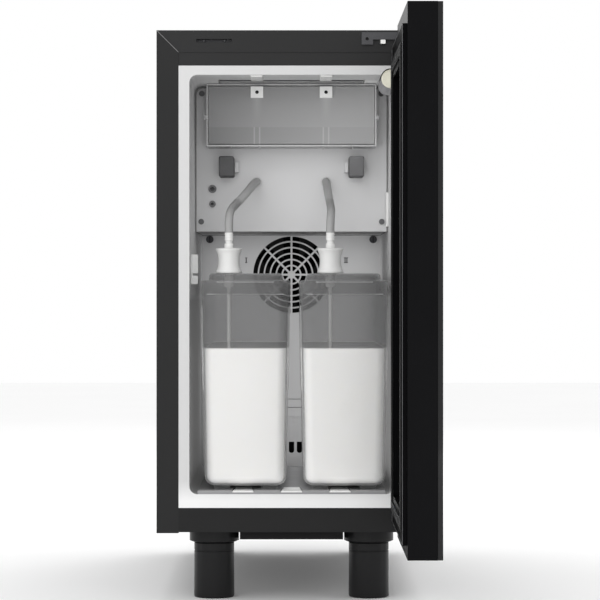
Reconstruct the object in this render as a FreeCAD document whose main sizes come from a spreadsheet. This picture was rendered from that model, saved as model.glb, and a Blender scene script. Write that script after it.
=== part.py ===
import FreeCAD, Part
import math
import os
import re
import Sketcher

# An under-counter cooler that keeps two milk containers cold beside a coffee machine.
# Millimetres. X points right, Y points into the cabinet, Z points up from the floor. The origin is on
# the floor under the middle of the appliance with its door open at a right angle. Every Y below is
# counted from the cabinet's front plane, and front_y moves it to the origin's frame.

DIMENSIONS = """
front_y          -130    front plane of the cabinet from the origin
cab_w             270    cabinet width
cab_d             536    cabinet depth to the rear cover
body_low           68    underside of the cabinet above the floor
body_top          571    top of the cabinet
sheet_t           1.2    outer sheet metal
foam_back         435    back of the insulation, front of the machine room

stile_w            22    width of a front stile and of the top rail
frame_t            18    depth of the front profiles
frame_wall          2    wall of the front profiles
header_low      535.6    lower edge of the header strip
header_back       0.8    how far the header strip is set back
rail_low           69    lower edge of the bottom rail
rail_high        93.3    upper edge of the bottom rail
lock_x          -77.4    middle of the lock slot in the top rail
lock_w           35.4    length of the lock slot
lock_low        558.9    lower edge of the lock slot
lock_high       562.3    upper edge of the lock slot
lock_pin_x       10.4    lock contact pins from the middle of the slot
lock_pin_r        0.9    radius of a lock contact pin
lock_rim            2    wall of the lock receiver
lock_back          12    back of the lock receiver

flange_w        225.8    width of the liner's front flange
flange_t            2    thickness of the flange
open_w          204.4    width of the cavity
open_low          107    floor of the cavity
open_high       526.5    ceiling of the cavity
open_r              8    corner radius of the cavity
liner_t           1.5    wall of the liner
liner_back        405    back wall of the liner
recess_w        151.2    width of the ceiling recess
recess_front       70    front of the ceiling recess
recess_back       125    back of the ceiling recess
recess_rise         6    height of the ceiling recess
lamp_x           99.5    lamp axis
lamp_z          522.7    lamp axis
lamp_r            9.5    radius of the lamp lens
lamp_body_r       9.1    radius of the lamp housing
lamp_pocket_r    10.3    radius of the pocket that holds the lamp
lamp_front          2    front of the lens
lamp_lens_t         3    thickness of the lens
lamp_edge         1.2    rounding of the lens
lamp_back         112    back of the lamp housing and its pocket

channel_w         104    width of the channel under the base
channel_drop        8    depth of that channel
channel_front      20    front end of the channel
channel_back      520    back end of the channel
foot_x           78.4    front foot
foot_y             42    front foot
rear_foot_x        88    rear foot
rear_foot_y       490    rear foot
socket_r           25    radius of a foot socket
socket_edge      57.6    where the socket's chamfer starts
socket_low         56    lower end of a foot socket
socket_low_r       21    radius there
stem_r             12    spindle of a foot
stem_low           20    lower end of the spindle
sleeve_r         20.4    foot sleeve
sleeve_top       55.8    top of a foot sleeve
sleeve_chamfer      2    chamfer at the floor
sleeve_bore_r   12.05    bore that runs on the spindle
sleeve_floor       18    bottom of that bore

hinge_x         119.8    door hinge axis
hinge_y           -22    door hinge axis
door_low         68.5    lower edge of the door
door_top        571.4    upper edge of the door
door_inner       -6.5    inner face of the door frame
door_mid        -33.9    back of the glass
door_outer      -38.5    outer face of the glass
glass_edge        1.2    rounding of the glass's corners
door_rim           30    width of the door frame
notch_left         98    hinge notches in the door frame
notch_h          13.4    height of a hinge notch
bush_r           3.05    hinge bore in the door frame
bush_depth         18    depth of the hinge bore
panel_w           254    inner panel of the door
panel_low        81.2    lower edge of the inner panel
panel_high      552.1    upper edge of the inner panel
panel_face       -2.3    face of the inner panel
dish_face         -10    bottom of the panel's dish
dish_back       -12.2    back of the dish
dish_w            196    width of the dish
dish_r              6    corner radius of the dish
dish_low          109    lower edge of the dish
dish_high         520    upper edge of the dish
seal_w            227    outer width of the gasket
seal_low         92.8    lower edge of the gasket
seal_high         536    upper edge of the gasket
seal_band          10    width of the gasket bulb
seal_root         1.5    how much narrower the gasket root is on each side
seal_groove      -5.3    bottom of the gasket groove
seal_tip         -0.4    gasket tip with the door closed

tongue_w           10    hinge tongue
tongue_reach      -30    end of the hinge tongue
tongue_t          3.5    thickness of the tongue
tongue_high       562    underside of the upper tongue
tongue_low       74.5    underside of the lower tongue
bracket_t           3    thickness of the bracket's front plate
bracket_left     70.1    left end of the upper bracket
bracket_step     81.6    where the upper bracket narrows
bracket_right     131    right end of both brackets
bracket_low     556.5    lower edge of the upper bracket's wide end
bracket_arm     561.5    lower edge of its arm
bracket_high    568.9    upper edge of the upper bracket
bracket_hole_x   75.6    screw hole
bracket_hole_z  562.1    screw hole
bracket_hole_r    1.7    screw hole
lower_left        104    left end of the lower bracket
lower_low          71    lower edge of the lower bracket
lower_high         79    upper edge of the lower bracket
pin_r               3    hinge pin
pin_reach          17    length of the pin below its tongue
switch_x         91.4    door switch plunger
switch_z        559.2    door switch plunger
switch_w            5    width of the plunger
switch_h          3.9    height of the plunger
switch_proud      4.5    how far the plunger stands out
switch_depth       14    back end of the plunger
switch_gap        0.2    clearance of the plunger in the rail
switch_edge       0.8    rounding of the plunger

tray_w            188    floor tray
tray_front          2    front edge of the tray
tray_back         372    back edge of the tray
tray_top        110.2    top of the tray
notch_pitch      48.6    spacing of the three notches
notch_front_w      22    width of a notch at the front edge
notch_back_w     18.4    width of a notch at its end
notch_end          56    end of the notches

fan_z           328.1    evaporator fan axis
duct_face         375    front of the duct panel
duct_t              2    thickness of the duct panel
duct_w          203.8    width of the duct panel
duct_top        372.6    upper edge of the duct panel
duct_gap          0.3    gap between the duct panel and the cavity's floor
grille_r         43.5    opening for the fan
grille_hub        4.4    hub of the grille
grille_ring      10.5    first ring of the grille
grille_pitch      6.8    spacing of the rings
grille_wire       1.7    width of a ring
spoke_w           2.2    width of a spoke
slot_pitch        9.1    spacing of the air slots
slot_w            6.1    width of an air slot
slot_low        125.2    lower end of the air slots
slot_high         138    upper end of the air slots
flute_high        167    upper end of the flutes
flute_t             1    depth of the flutes
duct_screw_x     92.9    thumb screws of the duct panel
duct_screw_z    368.2    thumb screws of the duct panel
duct_screw_r      4.3    thumb screws of the duct panel
duct_screw_t        3    thumb screws of the duct panel

service_face      165    front of the service panel
service_w       203.6    width of the service panel
service_low       373    lower edge of the service panel
service_high      526    upper edge of the service panel
service_back    374.8    back of the service panel
service_t         1.5    sheet of the service panel
screw_low_x      95.7    lower screws
screw_low_z     383.4    lower screws
screw_high_x     95.1    upper screws
screw_high_z    519.2    upper screws
screw_r             3    screw head
screw_t           1.6    height of a screw head
screw_slot        0.7    width of a screw's slot
nozzle_x         36.6    hose nozzles
nozzle_z        425.5    hose nozzles
nozzle_r          2.8    hose nozzles
nozzle_wall         1    wall of a nozzle
nozzle_tip        157    front end of a nozzle
nozzle_collar_r   5.6    collar of a nozzle
nozzle_collar_t     1    thickness of that collar
nozzle_back       185    back end of a nozzle, at its pump
port_x          -83.8    rinse ports
port_z          418.1    upper rinse port
port_r            4.3    upper rinse port
port_bore         2.4    upper rinse port
drain_z         402.2    lower rinse port
drain_r           3.5    lower rinse port
drain_bore        1.5    lower rinse port
port_proud        2.2    how far the rinse ports stand out
port_back         178    back end of the rinse ports
latch_x          68.2    thumb latches
latch_w          15.8    width of a latch
latch_low       429.7    lower edge of a latch
latch_high      451.3    upper edge of a latch
latch_front       127    front of a latch
latch_gap         0.4    gap between a latch and the panel
latch_stem_w        6    stem of a latch
latch_stem_low    437    lower edge of the stem
latch_stem_high   444    upper edge of the stem
latch_plate_w      11    plate behind the panel
latch_plate_y     167    front of that plate
latch_plate_t       3    thickness of that plate
latch_travel        4    travel of a latch
latch_edge          2    rounding of a latch
keeper_w            4    keeper beside a latch
keeper_low      435.2    lower edge of a keeper
keeper_high     445.7    upper edge of a keeper
keeper_front      150    front of a keeper
pump_x             40    milk pumps
pump_z            440    milk pumps
pump_r             20    pump motor
pump_head          44    height of the pump head
pump_head_w        36    width of the pump head
pump_head_t        24    depth of the pump head
pump_back         275    back of the pump motors

bay_w             177    cartridge bay
bay_low           461    lower edge of the bay
bay_high        525.8    upper edge of the bay
bay_front         117    front of the bay
bay_wall          1.6    walls of the bay
tube_high         483    upper end of the bay's tubes
tube_y            140    place of the tubes in the bay
tube_r              3    radius of the tubes
flap_w            173    flap of the bay
flap_low        463.4    lower edge of the flap
flap_high       523.4    upper edge of the flap
flap_t              2    thickness of the flap
flap_axis_y     119.5    pivot of the flap
flap_axis_z     491.4    pivot of the flap
flap_pin_r        1.3    pivot pins
flap_rib_r        2.5    rib between the pivot pins
ear_r             2.8    pivot ears
ear_t             2.6    thickness of a pivot ear
ear_bore_r       1.35    bore of a pivot ear
boss_x             36    white bosses on the flap
boss_w             13    width of a boss
boss_low        511.4    lower edge of a boss
boss_high       523.2    upper edge of a boss
boss_proud          3    how far a boss stands out
boss_hole_r       1.9    hole in a boss

clip_proud        6.6    cable clip on the left wall
clip_front         58    front of the clip
clip_back          75    back of the clip
clip_low        317.2    lower edge of the clip
clip_slot_low   325.7    groove in the clip
clip_slot_high  328.3    groove in the clip
clip_high       347.3    upper edge of the clip
clip_plate        1.6    back plate of the clip
stay_low          378    small stay on the right wall
stay_high         414    small stay on the right wall
stay_w            2.2    small stay on the right wall
stay_front        150    small stay on the right wall
stay_back         163    small stay on the right wall

left_x          -46.3    middle of the left container
right_x          53.1    middle of the right container
tub_front           9    front of a container
tub_l             330    length of a container
tub_taper       0.965    slope of the tub's walls in degrees
tub_low_w        82.5    width at the bottom
tub_low           114    underside of the tub
tub_high        306.8    top edge of the tub
tub_draft        3.25    how much shorter the bottom is at each end
tub_r              12    corner radius
tub_wall            2    wall of the tub
runner_w           16    runners under the tub
runner_x           24    runners under the tub
runner_inset       20    runners from the tub's ends
milk_top        252.5    level of the milk
milk_gap          0.2    how much the milk stands clear of the wall
lid_w            89.6    width of the lid
lid_rim         320.9    top of the lid's rim
lid_dome_w         70    width of the lid's dome
lid_top           328    top of the dome
lid_r              14    corner radius of the lid
lid_over          0.3    how far the lid reaches past the tub's ends
lid_wall            2    wall of the lid
lid_inset           4    rim of the lid inside its edge
left_cap_x        -17    left cap from its container's middle
right_cap_x     -13.8    right cap from its container's middle
cap_y              23    cap from the container's front
cap_high        353.5    top of the cap
cap_r            13.3    flanges of the cap
cap_waist_r      10.8    waist of the cap
cap_flange          5    height of a cap flange
cap_cone            2    height of the cone between flange and waist
neck_r              5    neck of the suction fitting
neck_low        313.6    lower end of the neck
collar_r          4.7    collar above the cap
collar_high     358.2    top of the collar
throat_r          3.5    throat of the fitting
throat_high     361.3    top of the throat
ferrule_r        4.35    ferrule that holds the hose
ferrule_high    369.2    top of the ferrule
suction_r        1.95    suction tube
suction_low       120    lower end of the suction tube
suction_way       0.4    room round the suction tube in the milk
hose_d            8.4    outside diameter of a hose

evap_w            176    evaporator
evap_low          176    evaporator
evap_high         272    evaporator
evap_front        380    evaporator
evap_back         402    evaporator
fin_pitch           8    spacing of the fins
fin_gap             5    gap between the fins
fin_depth           8    depth of that gap
fan_size           92    evaporator fan
fan_front       377.5    evaporator fan
cool_fan_size     120    condenser fan
cool_fan_z        400    condenser fan
cool_fan_front    468    condenser fan
fan_t            25.4    depth of a fan
fan_wall          2.5    wall of a fan frame at its thinnest
fan_hub_r          17    hub of a fan rotor
fan_shaft_r         3    shaft of a fan
fan_bore_r       3.05    bore of a fan rotor
fan_strut           5    struts of a fan frame
fan_plate         3.6    thickness of the struts
fan_tip             2    clearance of the blade tips
blade_t             2    thickness of a fan blade
blade_gap           1    room in front of and behind a blade
cond_w            150    condenser
cond_low          325    condenser
cond_high         475    condenser
cond_front        500    condenser
cond_back         530    condenser
can_x             -55    compressor
can_y             486    compressor
can_r              44    compressor
can_low            76    compressor
can_high          200    compressor
can_dome           22    rounded ends of the compressor
can_plate         100    length of the compressor's base plate
can_plate_d        80    depth of that plate
can_plate_t         4    thickness of that plate
box_w             150    control box
box_low           492    control box
box_high          556    control box
box_front         450    control box
box_back          522    control box
inlet_x            85    power inlet
inlet_z           110    power inlet
inlet_w            48    power inlet
inlet_h            28    power inlet
inlet_back        538    power inlet
inlet_depth        22    power inlet
inlet_lip           4    how far its flange stands past its body
inlet_gap           1    room round its body in the rear cover
contact_x           7    outer contacts of the inlet
contact_z           2    contacts above and below the inlet's middle
contact_w           2    width of a contact
contact_h           4    height of a contact
socket_w           24    socket of the power inlet
socket_h           16    socket of the power inlet
line_r              3    refrigerant lines
line_x             80    where the suction line crosses the insulation
line_z            200    where the suction line crosses the insulation
grid_x            -14    rear air slots
grid_w             90    rear air slots
grid_h              5    rear air slots
grid_pitch         14    rear air slots
grid_low          100    first rear air slot
"""

HOSE_ROUTE = [  # left hose, from its nozzle to the ferrule on the cap
    (-36.6, 156.2, 425.5),
    (-37.6, 137.0, 424.6),
    (-41.0, 114.5, 419.6),
    (-47.4, 89.0, 410.2),
    (-55.4, 65.5, 400.4),
    (-60.4, 48.5, 394.8),
    (-62.9, 36.8, 388.4),
    (-63.3, 32.0, 379.4),
    (-63.3, 32.0, 369.2),
]
RIGHT_HOSE_ROUTE = [  # right hose, the same way
    (36.6, 156.2, 425.5),
    (36.6, 137.0, 424.4),
    (37.0, 114.5, 419.2),
    (38.0, 90.0, 409.8),
    (39.3, 66.0, 401.4),
    (40.2, 48.8, 395.2),
    (40.1, 37.0, 388.6),
    (39.3, 32.0, 379.6),
    (39.3, 32.0, 369.2),
]
SUCTION_LINE = [
    (80.0, 402.0, 200.0),
    (80.0, 462.0, 200.0),
    (80.0, 488.0, 226.0),
    (30.0, 488.0, 244.0),
    (-30.0, 487.0, 238.0),
    (-72.0, 486.0, 199.0),
]
DISCHARGE_LINE = [
    (-40.0, 486.0, 199.5),
    (-20.0, 488.0, 262.0),
    (20.0, 505.0, 292.0),
    (60.0, 514.0, 308.0),
    (66.0, 515.0, 325.0),
]

doc = FreeCAD.newDocument("MilkCooler")
sheet = doc.addObject("Spreadsheet::Sheet", "Dims")
VALUES = {}
NODES = {}


def fill_sheet():
    rows = [line.split(None, 2) for line in DIMENSIONS.splitlines() if line.strip()]
    for number, (alias, value, note) in enumerate(rows, 1):
        sheet.set(f"A{number}", alias)
        sheet.set(f"B{number}", value)
        sheet.set(f"C{number}", note)
        sheet.setAlias(f"B{number}", alias)
        VALUES[alias] = float(value)
    doc.recompute()


def bound(text):
    """The expression with each alias given its sheet."""
    return re.sub(r"[a-z]\w*", lambda word: f"Dims.{word[0]}" if word[0] in VALUES else word[0], str(text))


def bind(obj, path, text):
    obj.setExpression(path, bound(text))


def value(text):
    """The number that an expression gives, for the few shapes built by Part's own functions."""
    result = sheet.evalExpression(bound(text))
    return float(getattr(result, "Value", result))


def place(obj, x=0, y=0, z=0, turn=0):
    """Put an object at x, y, z with y counted from the front plane, turned about Z."""
    obj.Placement = FreeCAD.Placement(FreeCAD.Vector(), FreeCAD.Rotation(FreeCAD.Vector(0, 0, 1), turn))
    bind(obj, "Placement.Base.x", x)
    bind(obj, "Placement.Base.y", f"front_y + ({y})")
    bind(obj, "Placement.Base.z", z)


def node(name, obj):
    obj.Label = name
    NODES[name] = obj
    return obj


PLANES = {"XY": ("XY_Plane", 1), "XZ": ("XZ_Plane", -1), "YZ": ("YZ_Plane", 1)}


def rect(x_low, y_low, x_high, y_high):
    return ("line", [(x_low, y_low), (x_high, y_low), (x_high, y_high), (x_low, y_high)])


def poly(*points):
    return ("line", list(points))


def circle(x, y, radius):
    return ("circle", (x, y, radius))


def middle_rect(width, y_low, y_high, x=0):
    return rect(f"{x} - ({width})/2", y_low, f"{x} + ({width})/2", y_high)


class Piece:
    """A PartDesign body. Its outlines are drawn on its own origin planes and follow the sheet."""

    def __init__(self, name, x=0, y=0, z=0, turn=0, is_node=True):
        self.body = doc.addObject("PartDesign::Body", name)
        self.body.AllowCompound = True
        place(self.body, x, y, z, turn)
        if is_node:
            node(name, self.body)

    def sketch(self, plane, level, outlines):
        role, sign = PLANES[plane]
        made = self.body.newObject("Sketcher::SketchObject", "Sketch")
        base = [f for f in self.body.Origin.OriginFeatures if f.Role == role][0]
        made.AttachmentSupport = (base, [""])
        made.MapMode = "FlatFace"
        bind(made, "AttachmentOffset.Base.z", f"{sign} * ({level})")
        geometry, joins, places = [], [], []
        for kind, data in outlines:
            first = len(geometry)
            if kind == "circle":
                x, y, radius = data
                at = FreeCAD.Vector(value(x), value(y), 0)
                geometry.append(Part.Circle(at, FreeCAD.Vector(0, 0, 1), value(radius)))
                joins.append(Sketcher.Constraint("Radius", first, value(radius)))
                places.append((len(joins) - 1, radius))
                corners = [(first, 3, x, y)]
            else:
                spots = [FreeCAD.Vector(value(x), value(y), 0) for x, y in data]
                count = len(data)
                for i in range(count):
                    geometry.append(Part.LineSegment(spots[i], spots[(i + 1) % count]))
                    joins.append(Sketcher.Constraint("Coincident", first + i, 2, first + (i + 1) % count, 1))
                corners = [(first + i, 1, x, y) for i, (x, y) in enumerate(data)]
            for index, point, x, y in corners:
                for word, text in (("DistanceX", x), ("DistanceY", y)):
                    joins.append(Sketcher.Constraint(word, -1, 1, index, point, value(text)))
                    places.append((len(joins) - 1, text))
        made.addGeometry(geometry, False)
        made.addConstraint(joins)
        for index, text in places:
            bind(made, f"Constraints[{index}]", text)
        return made

    def feature(self, kind, profile):
        made = self.body.newObject(f"PartDesign::{kind}", kind)
        made.Profile = profile
        profile.Visibility = False
        self.body.Tip = made
        return made

    def pad(self, plane, low, high, *outlines):
        """Material from level low to level high across the plane."""
        made = self.feature("Pad", self.sketch(plane, low if PLANES[plane][1] > 0 else high, outlines))
        bind(made, "Length", f"({high}) - ({low})")
        return made

    def pocket(self, plane, low, high, *outlines):
        """A hollow from level low to level high across the plane."""
        made = self.feature("Pocket", self.sketch(plane, high if PLANES[plane][1] > 0 else low, outlines))
        bind(made, "Length", f"({high}) - ({low})")
        return made

    def revolve(self, plane, *points):
        """A turned shape about the sketch's upright axis: points are (radius, height)."""
        profile = self.sketch(plane, 0, [poly(*points)])
        made = self.feature("Revolution", profile)
        made.ReferenceAxis = (profile, ["V_Axis"])
        made.Angle = 360
        return made

    def dress(self, kind, size, pick):
        """A fillet or chamfer on the edges that pick chooses."""
        doc.recompute()
        base = self.body.Tip
        names = [f"Edge{i}" for i, edge in enumerate(base.Shape.Edges, 1) if pick(edge)]
        if not names:
            raise ValueError(f"{self.body.Label}: no edge to dress")
        made = self.body.newObject(f"PartDesign::{kind}", kind)
        made.Base = (base, names)
        bind(made, "Radius" if kind == "Fillet" else "Size", size)
        self.body.Tip = made
        return made

    def row(self, feature, pitch, count):
        """Repeat a feature along its own sketch's X, count times, pitch apart."""
        doc.recompute()
        made = self.body.newObject("PartDesign::LinearPattern", "Row")
        made.Originals = [feature]
        made.Direction = (feature.Profile[0], ["H_Axis"])
        made.Occurrences = count
        bind(made, "Length", f"({pitch}) * {count - 1}")
        self.body.Tip = made
        return made

    def around(self, feature, count, profile):
        """Repeat a feature evenly about the normal of a sketch, through the body's origin."""
        doc.recompute()
        made = self.body.newObject("PartDesign::PolarPattern", "Around")
        made.Originals = [feature]
        made.Axis = (profile, ["N_Axis"])
        made.Angle = 360
        made.Occurrences = count
        self.body.Tip = made
        return made


def edge_ends(edge):
    return edge.Vertexes[0].Point, edge.Vertexes[-1].Point


def runs_along(axis, test=lambda middle: True):
    """Chooses the straight edges along an axis whose middle passes the test."""
    def pick(edge):
        start, end = edge_ends(edge)
        step = end - start
        size = step.Length
        return size > 1e-6 and abs(abs(step[axis]) - size) < 1e-6 and test((start + end) * 0.5)
    return pick


def box(name, low, high):
    made = doc.addObject("Part::Box", name)
    for side, a, b in zip(("Length", "Width", "Height"), low, high):
        bind(made, side, f"({b}) - ({a})")
    place(made, *low)
    return made


AXIS_TURN = {
    "X": FreeCAD.Rotation(FreeCAD.Vector(0, 1, 0), 90),
    "Y": FreeCAD.Rotation(FreeCAD.Vector(1, 0, 0), -90),
    "Z": FreeCAD.Rotation(),
}


def rod(name, axis, x, y, z, radius, length):
    """A cylinder that starts at x, y, z and runs along +axis."""
    made = doc.addObject("Part::Cylinder", name)
    bind(made, "Radius", radius)
    bind(made, "Height", length)
    place(made, x, y, z)
    made.Placement.Rotation = AXIS_TURN[axis]
    return made


def fuse(name, shapes):
    made = doc.addObject("Part::MultiFuse", name)
    made.Shapes = shapes
    return made


def cut(name, base, tool):
    made = doc.addObject("Part::Cut", name)
    made.Base, made.Tool = base, tool
    return made


def group(name, shapes):
    made = doc.addObject("Part::Compound", name)
    made.Links = shapes
    return made


def tube_shape(route, radius, label):
    """A solid tube along straight runs joined by tangent arcs, as large as the runs allow."""
    lift = FreeCAD.Vector(0, value("front_y"), 0)
    points = [FreeCAD.Vector(*point) + lift for point in route]
    edges, last, radii = [], points[0], []
    for before, corner, after in zip(points, points[1:], points[2:]):
        back, ahead = (before - corner), (after - corner)
        shorter = min(back.Length, ahead.Length)
        half_turn = (math.pi - back.getAngle(ahead)) / 2
        reach = 0.45 * shorter
        radii.append(reach / math.tan(half_turn))
        back.normalize()
        ahead.normalize()
        start, end = corner + back * reach, corner + ahead * reach
        inward = (back + ahead).normalize()
        centre = corner + inward * (radii[-1] / math.cos(half_turn))
        edges.append(Part.LineSegment(last, start).toShape())
        edges.append(Part.Arc(start, centre - inward * radii[-1], end).toShape())
        last = end
    edges.append(Part.LineSegment(last, points[-1]).toShape())
    wire = Part.Wire(edges)
    ring = Part.Wire([Part.Circle(points[0], points[1] - points[0], radius).toShape()])
    solid = Part.Solid(wire.makePipeShell([ring], True, False))
    expected = math.pi * radius ** 2 * wire.Length
    print(f"{label}: length {wire.Length:.1f}, radii {[round(r) for r in radii]}")
    if abs(solid.Volume - expected) > 0.01 * expected:
        raise ValueError(f"{label}: volume {solid.Volume:.0f} instead of {expected:.0f}")
    return solid


def shape_node(name, shape):
    made = doc.addObject("Part::Feature", name)
    made.Shape = shape
    return node(name, made)


# ---- cabinet ---------------------------------------------------------------------------------------

HALF = "cab_w/2"
SKIN_LOW, SKIN_TOP = "body_low + sheet_t", "body_top - sheet_t"
ROOM_BACK = "cab_d - sheet_t"


def cabinet_shell():
    inner = f"({HALF} - sheet_t)"
    Piece("cabinet_shell").pad("XZ", "frame_t", ROOM_BACK, poly(
        (f"-{HALF}", "body_low"), (f"-{HALF}", "body_top"), (HALF, "body_top"), (HALF, "body_low"),
        (inner, "body_low"), (inner, SKIN_TOP), (f"-{inner}", SKIN_TOP), (f"-{inner}", "body_low")))


def hollow_profile(name, outlines, inner_outlines):
    """A front profile, open at the back."""
    piece = Piece(name)
    piece.pad("XZ", 0, "frame_t", *outlines)
    piece.pocket("XZ", "frame_wall", "frame_t", *inner_outlines)
    return piece


def front_stiles():
    outlines, inner = [], []
    for side in (1, -1):
        outer, near = f"{side}*{HALF}", f"{side}*({HALF} - stile_w)"
        outlines.append(poly((outer, "body_low"), (outer, "body_top"), (near, "body_top - stile_w"),
                             (near, "body_low")))
        far_in, near_in = f"{side}*({HALF} - frame_wall)", f"{side}*({HALF} - stile_w + frame_wall)"
        inner.append(rect(far_in, "body_low + frame_wall", near_in, "body_top - stile_w - frame_wall"))
    hollow_profile("front_stiles", outlines, inner)


def front_top_rail():
    low = "body_top - stile_w"
    reach = f"({HALF} - stile_w)"
    piece = hollow_profile(
        "front_top_rail",
        [poly((f"-{reach}", low), (reach, low), (HALF, "body_top"), (f"-{HALF}", "body_top"))],
        [rect(f"-{reach}", f"{low} + frame_wall", reach, "body_top - frame_wall")])
    piece.pocket("XZ", 0, "frame_wall", middle_rect("lock_w", "lock_low", "lock_high", "lock_x"))
    piece.pocket("XZ", 0, "frame_wall", middle_rect(
        "switch_w + 2*switch_gap", "switch_z - switch_h/2 - switch_gap", "switch_z + switch_h/2 + switch_gap",
        "switch_x"))


def front_header():
    reach = f"({HALF} - stile_w)"
    Piece("front_header").pad("XZ", "header_back", "frame_t",
                              rect(f"-{reach}", "header_low", reach, "body_top - stile_w"))


def front_bottom_rail():
    reach = f"({HALF} - stile_w)"
    hollow_profile("front_bottom_rail", [rect(f"-{reach}", "rail_low", reach, "rail_high")],
                   [rect(f"-{reach} + frame_wall", "rail_low + frame_wall", f"{reach} - frame_wall",
                         "rail_high - frame_wall")])


def lock_receiver():
    piece = Piece("lock_receiver")
    piece.pad("XZ", "frame_wall", "lock_back", middle_rect(
        "lock_w + 2*lock_rim", "lock_low - lock_rim", "lock_high + lock_rim", "lock_x"))
    piece.pocket("XZ", "frame_wall", "lock_back - lock_rim",
                 middle_rect("lock_w", "lock_low", "lock_high", "lock_x"))
    piece.pad("XZ", "frame_wall", "lock_back", *[
        circle(f"lock_x + {side}*lock_pin_x", "(lock_low + lock_high)/2", "lock_pin_r") for side in (-1, 1)])


def liner_outer(grow):
    """The liner's outer box and bulges, as outlines with their depths."""
    half = f"(open_w/2 + {grow})"
    return [
        ("XZ", 0, f"liner_back + {grow}",
         rect(f"-{half}", f"open_low - {grow}", half, f"open_high + {grow}")),
        ("XZ", 0, f"lamp_back + {grow}", circle("lamp_x", "lamp_z", f"lamp_pocket_r + {grow}")),
        ("XY", "open_high", f"open_high + recess_rise + {grow}",
         rect(f"-recess_w/2 - {grow}", f"recess_front - {grow}",
              f"recess_w/2 + {grow}", f"recess_back + {grow}")),
    ]


def inner_liner():
    piece = Piece("inner_liner")
    piece.pad("XZ", 0, "flange_t", middle_rect("flange_w", "rail_high", "header_low"))
    for plane, low, high, outline in liner_outer("liner_t"):
        piece.pad(plane, low, high, outline)
    piece.pocket("XZ", 0, "liner_back", middle_rect("open_w", "open_low", "open_high"))
    half = value("open_w")/2
    heights = (value("open_low"), value("open_high"))
    piece.dress("Fillet", "open_r", runs_along(1, lambda at: abs(abs(at.x) - half) < 1e-6
                                               and min(abs(at.z - z) for z in heights) < 1e-6))
    piece.pocket("XZ", 0, "lamp_back", circle("lamp_x", "lamp_z", "lamp_pocket_r"))
    piece.pocket("XY", "open_high - liner_t", "open_high + recess_rise",
                 rect("-recess_w/2", "recess_front", "recess_w/2", "recess_back"))
    piece.pocket("XZ", "liner_back", "liner_back + liner_t", circle("line_x", "line_z", "line_r"))


def insulation_foam():
    piece = Piece("insulation_foam")
    inner = f"({HALF} - sheet_t)"
    piece.pad("XZ", "frame_t", "foam_back", rect(f"-{inner}", SKIN_LOW, inner, SKIN_TOP))
    for plane, low, high, outline in liner_outer("liner_t"):
        piece.pocket(plane, "frame_t" if plane == "XZ" else low, high, outline)
    piece.pocket("XZ", "liner_back", "foam_back", circle("line_x", "line_z", "line_r"))


def base_plate():
    piece = Piece("base_plate")
    inner = f"({HALF} - sheet_t)"
    piece.pad("XY", "body_low", SKIN_LOW, rect(f"-{inner}", "frame_t", inner, ROOM_BACK))
    piece.pad("XY", "body_low - channel_drop", "body_low",
              rect("-channel_w/2", "channel_front", "channel_w/2", "channel_back"))
    piece.pocket("XY", "body_low - channel_drop", "body_low - sheet_t",
                 rect("-channel_w/2 + sheet_t", "channel_front + sheet_t",
                      "channel_w/2 - sheet_t", "channel_back - sheet_t"))


def feet():
    """Each foot is a sleeve on a spindle; the four spindles with their sockets share one node."""
    sockets = []
    places = {"front_left": ("-foot_x", "foot_y"), "front_right": ("foot_x", "foot_y"),
              "rear_left": ("-rear_foot_x", "rear_foot_y"), "rear_right": ("rear_foot_x", "rear_foot_y")}
    for corner, (x, y) in places.items():
        socket = Piece(f"socket_{corner}", x, y, is_node=False)
        socket.revolve("XZ", (0, "stem_low"), ("stem_r", "stem_low"), ("stem_r", "socket_low"),
                       ("socket_low_r", "socket_low"), ("socket_r", "socket_edge"), ("socket_r", "body_low"),
                       (0, "body_low"))
        sockets.append(socket.body)
        sleeve = Piece(f"foot_{corner}", x, y)
        sleeve.revolve("XZ", (0, 0), ("sleeve_r - sleeve_chamfer", 0), ("sleeve_r", "sleeve_chamfer"),
                       ("sleeve_r", "sleeve_top"), ("sleeve_bore_r", "sleeve_top"),
                       ("sleeve_bore_r", "sleeve_floor"), (0, "sleeve_floor"))
    node("foot_sockets", group("foot_sockets", sockets))


def rear_cover():
    piece = Piece("rear_cover")
    inner = f"({HALF} - sheet_t)"
    piece.pad("XZ", ROOM_BACK, "cab_d", rect(f"-{inner}", SKIN_LOW, inner, SKIN_TOP))
    piece.pocket("XZ", ROOM_BACK, "cab_d", middle_rect(
        "inlet_w - 2*inlet_lip + 2*inlet_gap", "inlet_z - inlet_h/2 + inlet_lip - inlet_gap",
        "inlet_z + inlet_h/2 - inlet_lip + inlet_gap", "inlet_x"))
    for low, count in (("grid_low", 6), ("cond_low", 11)):
        slots = [middle_rect("grid_w", f"{low} + {i}*grid_pitch", f"{low} + {i}*grid_pitch + grid_h",
                             "grid_x") for i in range(count)]
        piece.pocket("XZ", ROOM_BACK, "cab_d", *slots)


# ---- cooling ---------------------------------------------------------------------------------------

def finned_block(name, width, low, high, front, back):
    """A coil block: a core between two rows of fins."""
    piece = Piece(name)
    piece.pad("XZ", front, back, middle_rect(width, low, high))
    start = f"-({width})/2 + fin_pitch - fin_gap"
    count = int(value(f"({width} - fin_pitch) / fin_pitch"))
    for y_low, y_high in ((front, f"{front} + fin_depth"), (f"{back} - fin_depth", back)):
        gap = piece.pocket("XZ", y_low, y_high, rect(start, f"{low} + fin_gap", f"{start} + fin_gap",
                                                     f"{high} - fin_gap"))
        piece.row(gap, "fin_pitch", count)


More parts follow.
